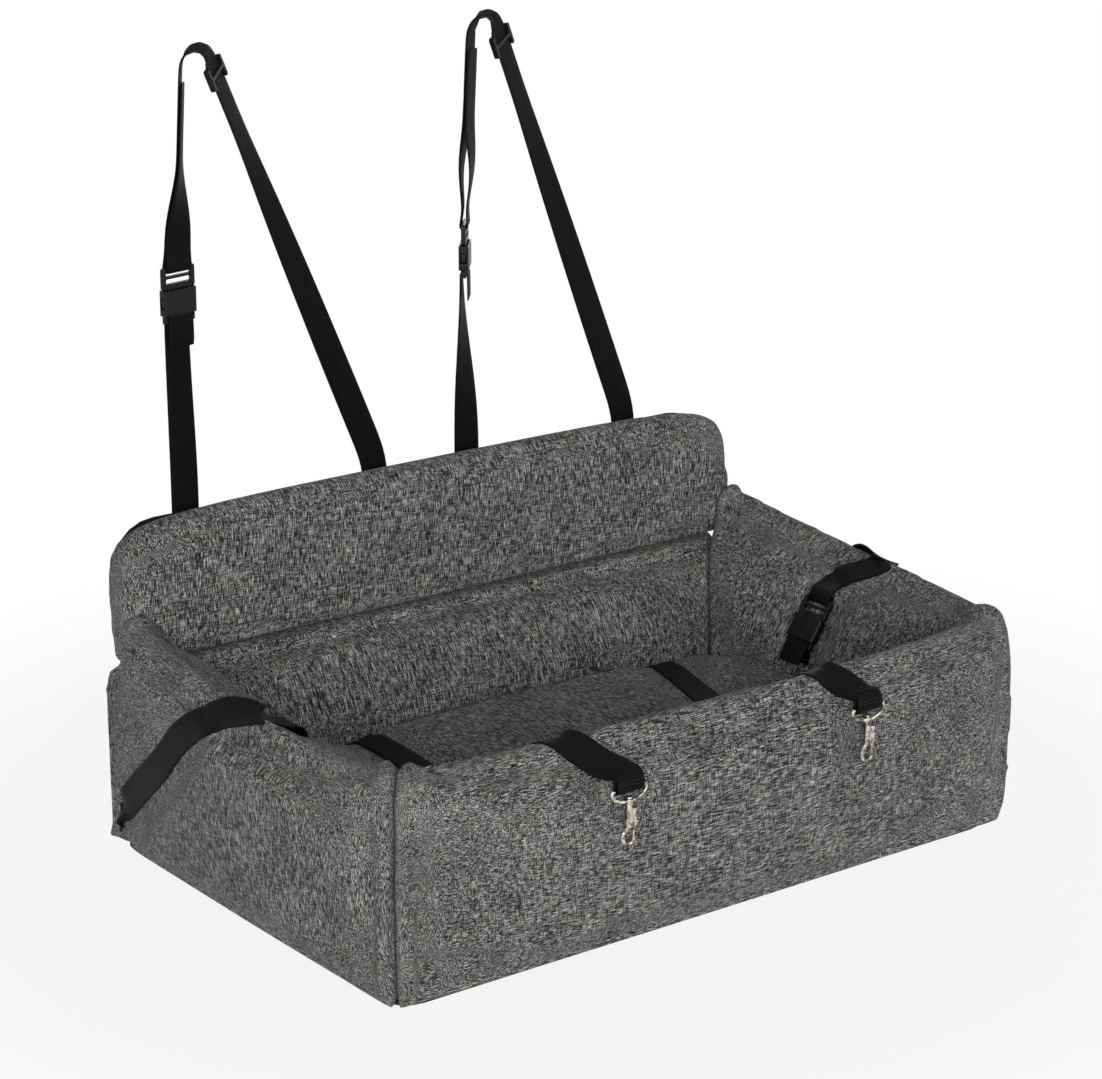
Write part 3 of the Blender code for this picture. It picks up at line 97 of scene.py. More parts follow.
class Slot(Enum):
    """The record's material slots."""

    FABRIC = "melange_fabric"
    OXFORD = "black_oxford"
    WEBBING = "black_webbing"
    ACETAL = "black_acetal"
    NICKEL = "nickel_plate"


class Grain(Enum):
    """Which way the long flecks of the melange yarn run on a piece."""

    LENGTHWISE = 0
    ROUND = 1


class Axis(Enum):
    """The length of a stuffed piece, and the two directions across it."""

    X = (0, 1, 2)
    Y = (1, 0, 2)


def linear(code: str) -> tuple[float, float, float, float]:
    """Turn an sRGB hex value to linear colour.

    Args:
        code: six hex digits, red first.

    Returns:
        Linear red, green and blue, and full opacity.
    """
    parts = [int(code[start:start + 2], 16) / 255 for start in (0, 2, 4)]
    red, green, blue = (
        part / 12.92 if part <= 0.04045 else ((part + 0.055) / 1.055) ** 2.4 for part in parts
    )
    return red, green, blue, 1.0


def add_node(tree: Tree, kind: str, inputs: dict[str | int, object] | None = None,
             **settings: object) -> bpy.types.Node:
    """Add a node with its settings, values and links.

    Args:
        tree: the material's or the modifier's node tree.
        kind: the node's type name.
        inputs: socket name or number to a value, or to the socket that feeds it.
        **settings: properties of the node itself.

    Returns:
        The new node.
    """
    node = tree.nodes.new(kind)
    for name, value in settings.items():
        setattr(node, name, value)
    for name, value in (inputs or {}).items():
        if isinstance(value, Socket):
            tree.links.new(value, node.inputs[name])
        else:
            node.inputs[name].default_value = value
    return node


def fill_ramp(node: bpy.types.Node, *stops: tuple[float, str | float]) -> Socket:
    """Set the stops of a colour ramp.

    Args:
        node: the colour ramp node.
        *stops: the place of each stop, in order, with its sRGB hex value or its even grey.

    Returns:
        The socket with the ramp's colour.
    """
    elements = node.color_ramp.elements
    while len(elements) < len(stops):
        elements.new(1.0)
    for element, (place, tone) in zip(elements, stops):
        element.position = place
        element.color = linear(tone) if isinstance(tone, str) else (tone, tone, tone, 1.0)
    return node.outputs["Color"]


def blank_material(name: str) -> tuple[bpy.types.Material, Tree]:
    """Start a material that has no nodes, and return it with its node tree."""
    material = bpy.data.materials.new(name)
    material.use_nodes = True
    material.node_tree.nodes.clear()
    return material, material.node_tree


@dataclass(frozen=True)
class MelangeFabric:
    """Melange linen-look polyester, plain woven from two-tone yarn.

    It shows short dark and pale flecks along the yarn over a mid grey, with a dry, slightly
    fuzzy surface. The flecks are drawn at the real size, one thread of 0.6 mm wide and a
    centimetre long, and the knots of the weave at 1.6 mm so that they show from 3.4 m.
    """

    name: str
    grain: Grain
    dark: str = "0c0d0f"
    middle: str = "505252"
    pale: str = "d8d8d4"
    cool: str = "f0f5fb"
    warm: str = "fff8ee"
    fleck_width: float = 0.0006
    fleck_length: float = 0.0100
    weave_pitch: float = 0.0016
    weave_depth: float = 0.0009
    tint_scale: float = 160.0
    patch_size: float = 0.055
    patch_share: float = 0.07
    cross_share: float = 0.38
    knot_share: float = 0.35
    long_seed: float = 3.0
    cross_seed: float = 11.0
    seed_spread: tuple[float, float, float] = (1.0, 0.37, 0.71)

    def threads(self, tree: Tree, place: Socket, run: Grain, seed: float) -> Socket:
        """Draw the flecks of the yarns that run one way.

        Args:
            tree: the material's node tree.
            place: the socket with the place along and round the piece.
            run: the way the yarns run.
            seed: how far the pattern is shifted.

        Returns:
            The socket with the flecks' strength.
        """
        along, across = 1 / self.fleck_length, 1 / self.fleck_width
        scale = (along, across, across) if run is Grain.LENGTHWISE else (across, along, across)
        mapping = add_node(tree, "ShaderNodeMapping", {
            "Vector": place, "Location": [seed * share for share in self.seed_spread],
            "Scale": scale})
        return add_node(tree, "ShaderNodeTexNoise", {
            "Vector": mapping.outputs[0], "Scale": 1.0, "Detail": 1.0,
            "Roughness": 0.6}).outputs["Fac"]

    def build(self) -> bpy.types.Material:
        """Make the material.

        Returns:
            The fabric's material.
        """
        material, tree = blank_material(self.name)
        place = add_node(tree, "ShaderNodeAttribute", attribute_name="weave").outputs["Vector"]
        other = Grain.ROUND if self.grain is Grain.LENGTHWISE else Grain.LENGTHWISE
        yarns = add_node(tree, "ShaderNodeMix", {
            0: self.cross_share, 2: self.threads(tree, place, self.grain, self.long_seed),
            3: self.threads(tree, place, other, self.cross_seed)}, data_type="FLOAT")
        patches = add_node(tree, "ShaderNodeTexNoise", {
            "Vector": place, "Scale": 1 / self.patch_size, "Detail": 3.0})
        shifted = add_node(tree, "ShaderNodeMath", {
            0: patches.outputs["Fac"], 1: self.patch_share, 2: yarns.outputs[0]},
            operation="MULTIPLY_ADD")
        tones = fill_ramp(add_node(tree, "ShaderNodeValToRGB", {"Fac": shifted.outputs[0]}),
                          (0.45, self.dark), (0.55, self.middle), (0.66, self.pale))
        tint = add_node(tree, "ShaderNodeTexNoise", {"Vector": place, "Scale": self.tint_scale})
        warmth = fill_ramp(add_node(tree, "ShaderNodeValToRGB", {"Fac": tint.outputs["Fac"]}),
                           (0.35, self.cool), (0.65, self.warm))
        colour = add_node(tree, "ShaderNodeMix", {0: 1.0, 6: tones, 7: warmth},
                          data_type="RGBA", blend_type="MULTIPLY")
        pitch = add_node(tree, "ShaderNodeMapping", {
            "Vector": place, "Scale": (1 / self.weave_pitch, 1 / self.weave_pitch, 1.0)})
        knots = add_node(tree, "ShaderNodeTexVoronoi", {
            "Vector": pitch.outputs[0], "Scale": 1.0, "Randomness": 0.35})
        relief = add_node(tree, "ShaderNodeMath", {
            0: knots.outputs["Distance"], 1: -self.knot_share, 2: yarns.outputs[0]},
            operation="MULTIPLY_ADD")
        bump = add_node(tree, "ShaderNodeBump", {
            "Height": relief.outputs[0], "Strength": 0.55, "Distance": self.weave_depth})
        shader = add_node(tree, "ShaderNodeBsdfPrincipled", {
            "Base Color": colour.outputs[2], "Normal": bump.outputs[0], "Roughness": 0.92,
            "Specular IOR Level": 0.12, "Sheen Weight": 0.08, "Sheen Roughness": 0.55})
        add_node(tree, "ShaderNodeOutputMaterial", {"Surface": shader.outputs[0]})
        return material


@dataclass(frozen=True)
class RibbedWebbing:
    """Flat polyester webbing, woven in fine ribs with tighter edges.

    It shows close ribs across the strap, a smoother band along each edge and a faint sheen.
    The real ribs are about 1.1 mm apart, drawn at 1.7 mm so that they show.
    """

    name: str
    base: str = "040405"
    raised: str = "0f1013"
    rib_pitch: float = 0.0017
    rib_depth: float = 0.0004
    rib_share: float = 0.28
    slub_length: float = 0.004
    slub_width: float = 0.0011
    edge_band: float = 0.0022
    edge_blur: float = 0.4

    def build(self) -> bpy.types.Material:
        """Make the material.

        Returns:
            The webbing's material.
        """
        material, tree = blank_material(self.name)
        place = add_node(tree, "ShaderNodeAttribute", attribute_name="run").outputs["Vector"]
        parts = add_node(tree, "ShaderNodeSeparateXYZ", {0: place})
        turns = add_node(tree, "ShaderNodeMath", {
            0: parts.outputs[0], 1: math.tau / self.rib_pitch}, operation="MULTIPLY")
        ribs = add_node(tree, "ShaderNodeMath", {0: turns.outputs[0]}, operation="SINE")
        inside = add_node(tree, "ShaderNodeMapRange", {
            0: parts.outputs[1], 1: self.edge_band * (1 - self.edge_blur),
            2: self.edge_band * (1 + self.edge_blur)}, interpolation_type="SMOOTHSTEP")
        shown = add_node(tree, "ShaderNodeMath", {
            0: ribs.outputs[0], 1: inside.outputs[0]}, operation="MULTIPLY")
        slub = add_node(tree, "ShaderNodeMapping", {
            "Vector": place, "Scale": (1 / self.slub_length, 1 / self.slub_width, 1.0)})
        yarn = add_node(tree, "ShaderNodeTexNoise", {
            "Vector": slub.outputs[0], "Scale": 1.0, "Detail": 2.0})
        mixed = add_node(tree, "ShaderNodeMath", {
            0: shown.outputs[0], 1: self.rib_share, 2: yarn.outputs["Fac"]},
            operation="MULTIPLY_ADD")
        tones = fill_ramp(add_node(tree, "ShaderNodeValToRGB", {"Fac": mixed.outputs[0]}),
                          (0.25, self.base), (0.85, self.raised))
        bump = add_node(tree, "ShaderNodeBump", {
            "Height": mixed.outputs[0], "Strength": 0.5, "Distance": self.rib_depth})
        shader = add_node(tree, "ShaderNodeBsdfPrincipled", {
            "Base Color": tones, "Normal": bump.outputs[0], "Roughness": 0.62,
            "Specular IOR Level": 0.08})
        add_node(tree, "ShaderNodeOutputMaterial", {"Surface": shader.outputs[0]})
        return material


@dataclass(frozen=True)
class CoatedOxford:
    """Oxford cloth, basket woven and coated on one side.

    It shows a small even grid with a dull rubbery gloss. The real grid is 0.9 mm, drawn at
    1.8 mm so that it shows.
    """

    name: str
    base: str = "131416"
    raised: str = "26272a"
    pitch: float = 0.0018
    depth: float = 0.0003
    grid_share: float = 0.5
    wear_scale: float = 45.0

    def build(self) -> bpy.types.Material:
        """Make the material.

        Returns:
            The cloth's material.
        """
        material, tree = blank_material(self.name)
        place = add_node(tree, "ShaderNodeTexCoord").outputs["Object"]
        grid = add_node(tree, "ShaderNodeTexVoronoi", {
            "Vector": place, "Scale": 1 / self.pitch, "Randomness": 0.15})
        worn = add_node(tree, "ShaderNodeTexNoise", {
            "Vector": place, "Scale": self.wear_scale, "Detail": 4.0})
        height = add_node(tree, "ShaderNodeMath", {
            0: grid.outputs["Distance"], 1: -self.grid_share, 2: worn.outputs["Fac"]},
            operation="MULTIPLY_ADD")
        tones = fill_ramp(add_node(tree, "ShaderNodeValToRGB", {"Fac": height.outputs[0]}),
                          (0.1, self.base), (0.6, self.raised))
        bump = add_node(tree, "ShaderNodeBump", {
            "Height": grid.outputs["Distance"], "Strength": 0.35, "Distance": self.depth})
        shader = add_node(tree, "ShaderNodeBsdfPrincipled", {
            "Base Color": tones, "Normal": bump.outputs[0], "Roughness": 0.7,
            "Specular IOR Level": 0.2})
        add_node(tree, "ShaderNodeOutputMaterial", {"Surface": shader.outputs[0]})
        return material


@dataclass(frozen=True)
class MouldedAcetal:
    """Acetal, injection moulded in a spark-eroded tool.

    It is black with a fine satin grain that softens each highlight, and a slightly glossier
    wear where it rubs. The grain is 0.4 mm, as fine as the render can show.
    """

    name: str
    base: str = "0b0b0d"
    worn: str = "141416"
    grain: float = 0.0004
    grain_depth: float = 0.0001
    wear_scale: float = 90.0

    def build(self) -> bpy.types.Material:
        """Make the material.

        Returns:
            The plastic's material.
        """
        material, tree = blank_material(self.name)
        place = add_node(tree, "ShaderNodeTexCoord").outputs["Object"]
        fine = add_node(tree, "ShaderNodeTexNoise", {
            "Vector": place, "Scale": 1 / self.grain, "Detail": 2.0})
        rubbed = add_node(tree, "ShaderNodeTexNoise", {
            "Vector": place, "Scale": self.wear_scale, "Detail": 3.0}).outputs["Fac"]
        gloss = fill_ramp(add_node(tree, "ShaderNodeValToRGB", {"Fac": rubbed}),
                          (0.3, 0.30), (0.7, 0.46))
        tones = fill_ramp(add_node(tree, "ShaderNodeValToRGB", {"Fac": rubbed}),
                          (0.3, self.base), (0.8, self.worn))
        bump = add_node(tree, "ShaderNodeBump", {
            "Height": fine.outputs["Fac"], "Strength": 0.15, "Distance": self.grain_depth})
        shader = add_node(tree, "ShaderNodeBsdfPrincipled", {
            "Base Color": tones, "Normal": bump.outputs[0], "Roughness": gloss,
            "Specular IOR Level": 0.2})
        add_node(tree, "ShaderNodeOutputMaterial", {"Surface": shader.outputs[0]})
        return material


@dataclass(frozen=True)
class PlatedZinc:
    """Nickel plate over die-cast zinc, barrel polished.

    It mirrors the room softly, with a warm tint, and is dull in small spots. Its colour holds a
    painted reflection: a noise lays light and dark patches into it, which stand in for the
    reflections of a varied room, since the room that it mirrors is plain white; the same noise
    ripples its surface.
    """

    name: str
    # Painted reflection: the light and the dark tone of the metal's colour, which stand in for the
    # reflections of a varied room
    painted_reflection_light: str = "d6cdc1"
    painted_reflection_dark: str = "6a6057"
    ripple: float = 0.006
    ripple_depth: float = 0.0005
    spot_scale: float = 900.0

    def build(self) -> bpy.types.Material:
        """Make the material.

        Returns:
            The plated metal's material.
        """
        material, tree = blank_material(self.name)
        place = add_node(tree, "ShaderNodeTexCoord").outputs["Object"]
        ripples_and_painted_reflection = add_node(tree, "ShaderNodeTexNoise", {
            "Vector": place, "Scale": 1 / self.ripple, "Detail": 2.0}).outputs["Fac"]
        spots = add_node(tree, "ShaderNodeTexNoise", {
            "Vector": place, "Scale": self.spot_scale, "Detail": 3.0})
        dull = fill_ramp(add_node(tree, "ShaderNodeValToRGB", {"Fac": spots.outputs["Fac"]}),
                         (0.35, 0.10), (0.7, 0.24))
        # Painted reflection: the noise lays light and dark patches into the colour
        tones = fill_ramp(add_node(tree, "ShaderNodeValToRGB", {"Fac": ripples_and_painted_reflection}),
                          (0.40, self.painted_reflection_light), (0.62, self.painted_reflection_dark))
        bump = add_node(tree, "ShaderNodeBump", {
            "Height": ripples_and_painted_reflection, "Strength": 0.12, "Distance": self.ripple_depth})
        shader = add_node(tree, "ShaderNodeBsdfPrincipled", {
            "Base Color": tones, "Normal": bump.outputs[0], "Roughness": dull, "Metallic": 1.0})
        add_node(tree, "ShaderNodeOutputMaterial", {"Surface": shader.outputs[0]})
        return material


@dataclass(frozen=True)
class TwistedThread:
    """Polyester sewing thread, twisted from spun fibre.

    It shows soft uneven strands and no gloss.
    """

    name: str
    base: str = "141416"
    raised: str = "2b2b2e"
    strand: float = 0.0006
    strand_depth: float = 0.0005

    def build(self) -> bpy.types.Material:
        """Make the material.

        Returns:
            The thread's material.
        """
        material, tree = blank_material(self.name)
        place = add_node(tree, "ShaderNodeTexCoord").outputs["Object"]
        strands = add_node(tree, "ShaderNodeTexNoise", {
            "Vector": place, "Scale": 1 / self.strand, "Detail": 4.0,
            "Distortion": 1.5}).outputs["Fac"]
        tones = fill_ramp(add_node(tree, "ShaderNodeValToRGB", {"Fac": strands}),
                          (0.3, self.base), (0.7, self.raised))
        bump = add_node(tree, "ShaderNodeBump", {
            "Height": strands, "Strength": 0.4, "Distance": self.strand_depth})
        shader = add_node(tree, "ShaderNodeBsdfPrincipled", {
            "Base Color": tones, "Normal": bump.outputs[0], "Roughness": 0.95})
        add_node(tree, "ShaderNodeOutputMaterial", {"Surface": shader.outputs[0]})
        return material


@dataclass
class Wardrobe:
    """Every finish of the seat, made once."""

    round_fabric: bpy.types.Material = field(
        default_factory=MelangeFabric("melange_polyester_woven_round", Grain.ROUND).build)
    long_fabric: bpy.types.Material = field(
        default_factory=MelangeFabric("melange_polyester_woven_long", Grain.LENGTHWISE).build)
    webbing: bpy.types.Material = field(
        default_factory=RibbedWebbing("polyester_webbing_woven").build)
    oxford: bpy.types.Material = field(default_factory=CoatedOxford("oxford_cloth_coated").build)
    acetal: bpy.types.Material = field(default_factory=MouldedAcetal("acetal_moulded").build)
    nickel: bpy.types.Material = field(
        default_factory=PlatedZinc("zinc_cast_nickel_plated").build)
    thread: bpy.types.Material = field(
        default_factory=TwistedThread("polyester_thread_twisted").build)


def merged_copy(nodes: Iterable[str]) -> bmesh.types.BMesh:
    """Copy CAD nodes into one mesh and merge the corners that their triangles share.

    Args:
        nodes: the CAD nodes' names.

    Returns:
        The merged mesh, to be freed by the caller.
    """
    mesh = bmesh.new()
    for node in nodes:
        mesh.from_mesh(frame["nodes"][node].data)
    bmesh.ops.remove_doubles(mesh, verts=mesh.verts, dist=MERGE_DISTANCE)
    return mesh


def tree_of(nodes: Iterable[str]) -> BVHTree:
    """Return a search tree over CAD nodes."""
    mesh = merged_copy(nodes)
    tree = BVHTree.FromBMesh(mesh)
    mesh.free()
    return tree


def new_piece(name: str, mesh: bmesh.types.BMesh | bpy.types.Mesh) -> bpy.types.Object:
    """Make a scene object from a mesh whose place is in its points.

    Args:
        name: the object's name.
        mesh: the mesh; a bmesh is freed here.

    Returns:
        The linked object.
    """
    if isinstance(mesh, bmesh.types.BMesh):
        data = bpy.data.meshes.new(name)
        mesh.to_mesh(data)
        mesh.free()
    else:
        data = mesh
        data.name = name
    piece = bpy.data.objects.new(name, data)
    bpy.context.scene.collection.objects.link(piece)
    return piece


def bake(piece: bpy.types.Object) -> None:
    """Turn a piece's modifiers into its plain mesh, and shade it smooth."""
    bpy.context.view_layer.update()
    shaped = piece.evaluated_get(bpy.context.evaluated_depsgraph_get())
    data = bpy.data.meshes.new_from_object(shaped)
    piece.modifiers.clear()
    old, piece.data = piece.data, data
    bpy.data.meshes.remove(old)
    data.name = piece.name
    data.shade_smooth()


def subdivide(piece: bpy.types.Object, levels: int) -> None:
    """Subdivide a piece smoothly, and keep the result."""
    smooth = piece.modifiers.new("Smooth", "SUBSURF")
    smooth.levels = smooth.render_levels = levels
    bake(piece)


def remesh(piece: bpy.types.Object, voxel: float, rounds: int, share: float) -> None:
    """Mesh a piece again in small even squares, and even it out.

    Args:
        piece: the piece.
        voxel: the side of a square.
        rounds: how many times it is evened out.
        share: how far each point moves then, from 0 to 1.
    """
    even = piece.modifiers.new("Even", "REMESH")
    even.mode = "VOXEL"
    even.voxel_size = voxel
    even.use_smooth_shade = True
    bake(piece)
    relax(piece.data, rounds, share)


def surface_of(mesh: bpy.types.Mesh) -> BVHTree:
    """Return a search tree over a finished mesh."""
    return BVHTree.FromPolygons([Vector(vertex.co) for vertex in mesh.vertices],
                                [tuple(face.vertices) for face in mesh.polygons])


def points_of(mesh: bpy.types.Mesh) -> np.ndarray:
    """Return a mesh's points as rows of x, y and z."""
    flat = np.empty(len(mesh.vertices) * 3)
    mesh.vertices.foreach_get("co", flat)
    return flat.reshape(-1, 3)


def normals_of(mesh: bpy.types.Mesh) -> np.ndarray:
    """Return the normals of a mesh's points."""
    flat = np.empty(len(mesh.vertices) * 3)
    mesh.vertices.foreach_get("normal", flat)
    return flat.reshape(-1, 3)


def move_points(mesh: bpy.types.Mesh, points: np.ndarray) -> None:
    """Put a mesh's points in new places."""
    mesh.vertices.foreach_set("co", points.ravel())
    mesh.update()


def relax(mesh: bpy.types.Mesh, rounds: int, share: float) -> None:
    """Even out a mesh by moving each point towards the mean of its neighbours.

    Args:
        mesh: the mesh.
        rounds: how many times.
        share: how far towards the mean, from 0 to 1.
    """
    ends = np.empty(len(mesh.edges) * 2, np.int64)
    mesh.edges.foreach_get("vertices", ends)
    ends = ends.reshape(-1, 2)
    points = points_of(mesh)
    counts = np.bincount(ends.ravel(), minlength=len(points)).astype(float)[:, None]
    for turn in range(rounds * 2):
        # Every second round pushes back out, so that the form keeps its volume
        step = share if turn % 2 == 0 else -share * PUSH_BACK
        total = np.zeros_like(points)
        np.add.at(total, ends[:, 0], points[ends[:, 1]])
        np.add.at(total, ends[:, 1], points[ends[:, 0]])
        points += (total / counts - points) * step
    move_points(mesh, points)


def smoothstep(values: np.ndarray, low: float, high: float) -> np.ndarray:
    """Return 0 below low, 1 above high and a soft step between them."""
    share = np.clip((values - low) / (high - low), 0, 1)
    return share * share * (3 - 2 * share)


def distances(nodes: Iterable[str], points: np.ndarray) -> np.ndarray:
    """Measure how far points are from CAD nodes, up to the search's reach.

    Args:
        nodes: the CAD nodes' names.
        points: the points.

    Returns:
        One distance for each point.
    """
    tree = tree_of(nodes)
    found = (tree.find_nearest(Vector(point), SEARCH_REACH)[3] for point in points)
    return np.array([SEARCH_REACH if away is None else away for away in found])


def write_attribute(mesh: bpy.types.Mesh, name: str, values: np.ndarray) -> None:
    """Store a vector for each point of a mesh, for its material to read."""
    attribute = mesh.attributes.new(name, "FLOAT_VECTOR", "POINT")
    attribute.data.foreach_set("vector", np.ascontiguousarray(values, np.float32).ravel())


def dress(piece: bpy.types.Object, material: bpy.types.Material, body: str,
          replaced: Sequence[str]) -> None:
    """Give a piece its finish, its body and the nodes that it stands for.

    Args:
        piece: the finished piece.
        material: its material.
        body: the body that it rides on.
        replaced: the CAD nodes that it stands for.
    """
    piece.data.materials.clear()
    piece.data.materials.append(material)
    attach(piece, body)
    if replaced:
        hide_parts(*replaced)
    LOG.info("%s: %d faces on %s", piece.name, len(piece.data.polygons), body)


STRAPS = [name for name in frame["nodes"] if "strap" in name]
BUCKLES = [name for name in frame["nodes"] if "buckle" in name]
COVERS = [name for name in frame["nodes"] if name.endswith("_cover")]
JOINTS = {joint["name"]: joint for joint in frame["record"]["behaviour"]["joints"]}


def folded(points: np.ndarray, share: float) -> np.ndarray:
    """Turn points about the back panel's fold.

    Args:
        points: the points.
        share: how much of the fold's range they turn, and which way.

    Returns:
        The turned points.
    """
    fold = JOINTS["back_panel_fold"]
    turn = Matrix.Rotation(math.radians(fold["range_deg"][1]) * share, 3, Vector(fold["axis"]))
    return (points - fold["pos_m"]) @ np.array(turn).T + fold["pos_m"]


# What passes close to a piece when the panel folds, and how the piece turns to meet it
FOLD_NEIGHBOURS = {
    "back_panel": (["back_roll_cover"], 1.0),
    "back_roll": (["back_panel_cover", "back_panel_backing"], -1.0),
}


@dataclass
class StuffedPiece:
    """A cover of the melange fabric, stuffed with fibre."""

    part: str
    body: Body
    axis: Axis
    material: bpy.types.Material
    fill: float = 0.75
    voxel: float = 0.006
    start_inset: float = 0.0035
    pressure: float = 4.0
    frames: int = 20
    inward: float = 0.0035
    outward: float = 0.010
    slide: float = 0.001
    neighbour_gap: float = 0.0004
    gap_share: float = 0.45
    held_below: float = 0.012
    strap_ease: tuple[float, float] = (0.004, 0.030)
    floor_ease: tuple[float, float] = (0.004, 0.030)
    ground_ease: tuple[float, float] = (0.004, 0.020)
    neighbour_ease: tuple[float, float] = (0.002, 0.014)
    press_ease: tuple[float, float] = (0.012, 0.022)
    inner_lean: float = 0.3
    flat_angle: float = 0.6
    flat_shape: float = 1.2
    edge_angle: float = 0.9
    edge_hold: float = 0.6
    unevenness: float = 0.0026
    pucker_depth: float = 0.0020
    pucker_pitch: float = 0.019
    pucker_reach: float = 0.030
    pucker_scale: float = 14.0
    seam_offset: float = 0.125
    wide_scale: float = 9.0
    fine_scale: float = 23.0
    rays: int = 181
    ray_reach: float = 0.05

    def skin(self) -> bmesh.types.BMesh:
        """Take the outer faces of the CAD cover and close them underneath.

        Returns:
            The closed outer form.
        """
        stuffing = tree_of([self.part + "_filling"])
        mesh = merged_copy([self.part + "_cover"])
        mesh.normal_update()
        inner = []
        for face in mesh.faces:
            middle = face.calc_center_median()
            near = stuffing.find_nearest(middle)[0]
            if (middle - near).dot(face.normal) <= self.inner_lean * (middle - near).length:
                inner.append(face)
        bmesh.ops.delete(mesh, geom=inner, context="FACES")
        rims = [edge for edge in mesh.edges if edge.is_boundary]
        bmesh.ops.holes_fill(mesh, edges=rims, sides=0)
        bmesh.ops.join_triangles(mesh, faces=mesh.faces, angle_face_threshold=self.flat_angle,
                                 angle_shape_threshold=self.flat_shape)
        bmesh.ops.recalc_face_normals(mesh, faces=mesh.faces)
        crease = mesh.edges.layers.float.new("crease_edge")
        for edge in mesh.edges:
            if len(edge.link_faces) == 2 and edge.calc_face_angle(0) > self.edge_angle:
                edge[crease] = self.edge_hold
        return mesh

    def rounded(self) -> bpy.types.Object:
        """Make the smooth, evenly meshed form.

        Returns:
            The form before it is stuffed.
        """
        piece = new_piece(self.part, self.skin())
        subdivide(piece, levels=2)
        remesh(piece, self.voxel, rounds=2, share=0.5)
        return piece

    def stuffed(self, piece: bpy.types.Object) -> np.ndarray:
        """Blow up a slightly smaller copy as cloth, so that the fabric swells and creases.

        Args:
            piece: the rounded form.

        Returns:
            Where the cloth's points come to rest.
        """
        start = points_of(piece.data) - normals_of(piece.data) * self.start_inset
        blown = new_piece(self.part + "_blown", piece.data.copy())
        move_points(blown.data, start)
        held = blown.vertex_groups.new(name="held")
        for index, point in enumerate(start):
            if point[2] < self.held_below:
                held.add([index], 1.0, "REPLACE")
        cloth = blown.modifiers.new("Cloth", "CLOTH")
        settings = cloth.settings
        settings.use_pressure = True
        settings.uniform_pressure_force = self.pressure
        settings.effector_weights.gravity = 0
        settings.quality = 5
        settings.mass = 0.3
        settings.tension_stiffness = 12
        settings.compression_stiffness = 12
        settings.shear_stiffness = 5
        settings.bending_stiffness = 0.4
        settings.shrink_min = -0.03
        settings.vertex_group_mass = "held"
        scene = bpy.context.scene
        cloth.point_cache.frame_start = 1
        cloth.point_cache.frame_end = self.frames
        for number in range(1, self.frames + 1):
            scene.frame_set(number)
        shaped = blown.evaluated_get(bpy.context.evaluated_depsgraph_get())
        points = points_of(shaped.data).copy()
        data = blown.data
        bpy.data.objects.remove(blown)
        bpy.data.meshes.remove(data)
        scene.frame_set(1)
        return points if np.isfinite(points).all() else start

    def travel(self, points: np.ndarray) -> tuple[np.ndarray, np.ndarray, np.ndarray]:
        """Work out how far each point may move out, and how free it is.

        Args:
            points: the points of the rounded form.

        Returns:
            The most outward travel, a share from 0 at a neighbour to 1 away from it, and a
            share from 1 where the piece presses against a neighbour to 0.
        """
        hooks = [name for name in frame["nodes"] if name.startswith("hook")]
        straps = distances(STRAPS + BUCKLES + hooks, points)
        beside = [name for name in COVERS + ["back_panel_backing"]
                  if not name.startswith(self.part)]
        others = distances(beside, points)
        room = np.minimum(self.outward * smoothstep(straps, *self.strap_ease), self.shared(others))
        room = room * smoothstep(points[:, 2], *self.floor_ease)
        if self.part in FOLD_NEIGHBOURS:
            nodes, share = FOLD_NEIGHBOURS[self.part]
            room = np.minimum(room, self.shared(distances(nodes, folded(points, share))))
        return (room, smoothstep(others, *self.neighbour_ease),
                1 - smoothstep(others, *self.press_ease))

    def shared(self, gaps: np.ndarray) -> np.ndarray:
        """Return the piece's own share of its gaps to a neighbour."""
        return np.maximum(gaps - self.neighbour_gap, 0) * self.gap_share

    def puckers(self, points: np.ndarray) -> np.ndarray:
        """Gather the fabric along the seams where the walls meet.

        Args:
            points: the points of the form.

        Returns:
            How far each point moves along its normal.
        """
        corner = np.abs(np.abs(points[:, 0]) + points[:, 1] - self.seam_offset) / math.sqrt(2)
        near = np.exp(-corner / self.pucker_reach)
        wave = np.array([noise.noise(Vector((x * self.pucker_scale, y * self.pucker_scale,
                                             z / self.pucker_pitch))) for x, y, z in points])
        return wave * near * self.pucker_depth * 2

    def creases(self, points: np.ndarray) -> np.ndarray:
        """Return the soft unevenness of hand-stuffed fibre, along the normals."""
        spots = [Vector(point) for point in points]
        return self.unevenness * np.array([
            noise.noise(spot * self.wide_scale) + 0.5 * noise.noise(spot * self.fine_scale)
            for spot in spots])

    def weave(self, mesh: bpy.types.Mesh) -> np.ndarray:
        """Lay the fabric round the piece, in metres of cloth.

        Args:
            mesh: the finished mesh.

        Returns:
            For each point, its place along the piece, round it, and in from the side.
        """
        along, across, up = self.axis.value
        points = points_of(mesh)
        middle = (points.max(axis=0) + points.min(axis=0)) / 2
        tree = surface_of(mesh)
        angles = np.linspace(-math.pi, math.pi, self.rays)
        rim = []
        for angle in angles:
            ray = Vector((0, 0, 0))
            ray[across], ray[up] = math.sin(angle), math.cos(angle)
            hit = tree.ray_cast(Vector(middle), ray)[0]
            rim.append(hit if hit is not None else Vector(middle) + ray * self.ray_reach)
        steps = [0.0] + [(second - first).length for first, second in zip(rim, rim[1:])]
        lengths = np.cumsum(steps)
        reaches = [(spot - Vector(middle)).length for spot in rim]
        offsets = points - middle
        turn = np.arctan2(offsets[:, across], offsets[:, up])
        inset = np.interp(turn, angles, reaches) - np.hypot(offsets[:, across], offsets[:, up])
        return np.stack([points[:, along], np.interp(turn, angles, lengths), inset], axis=1)

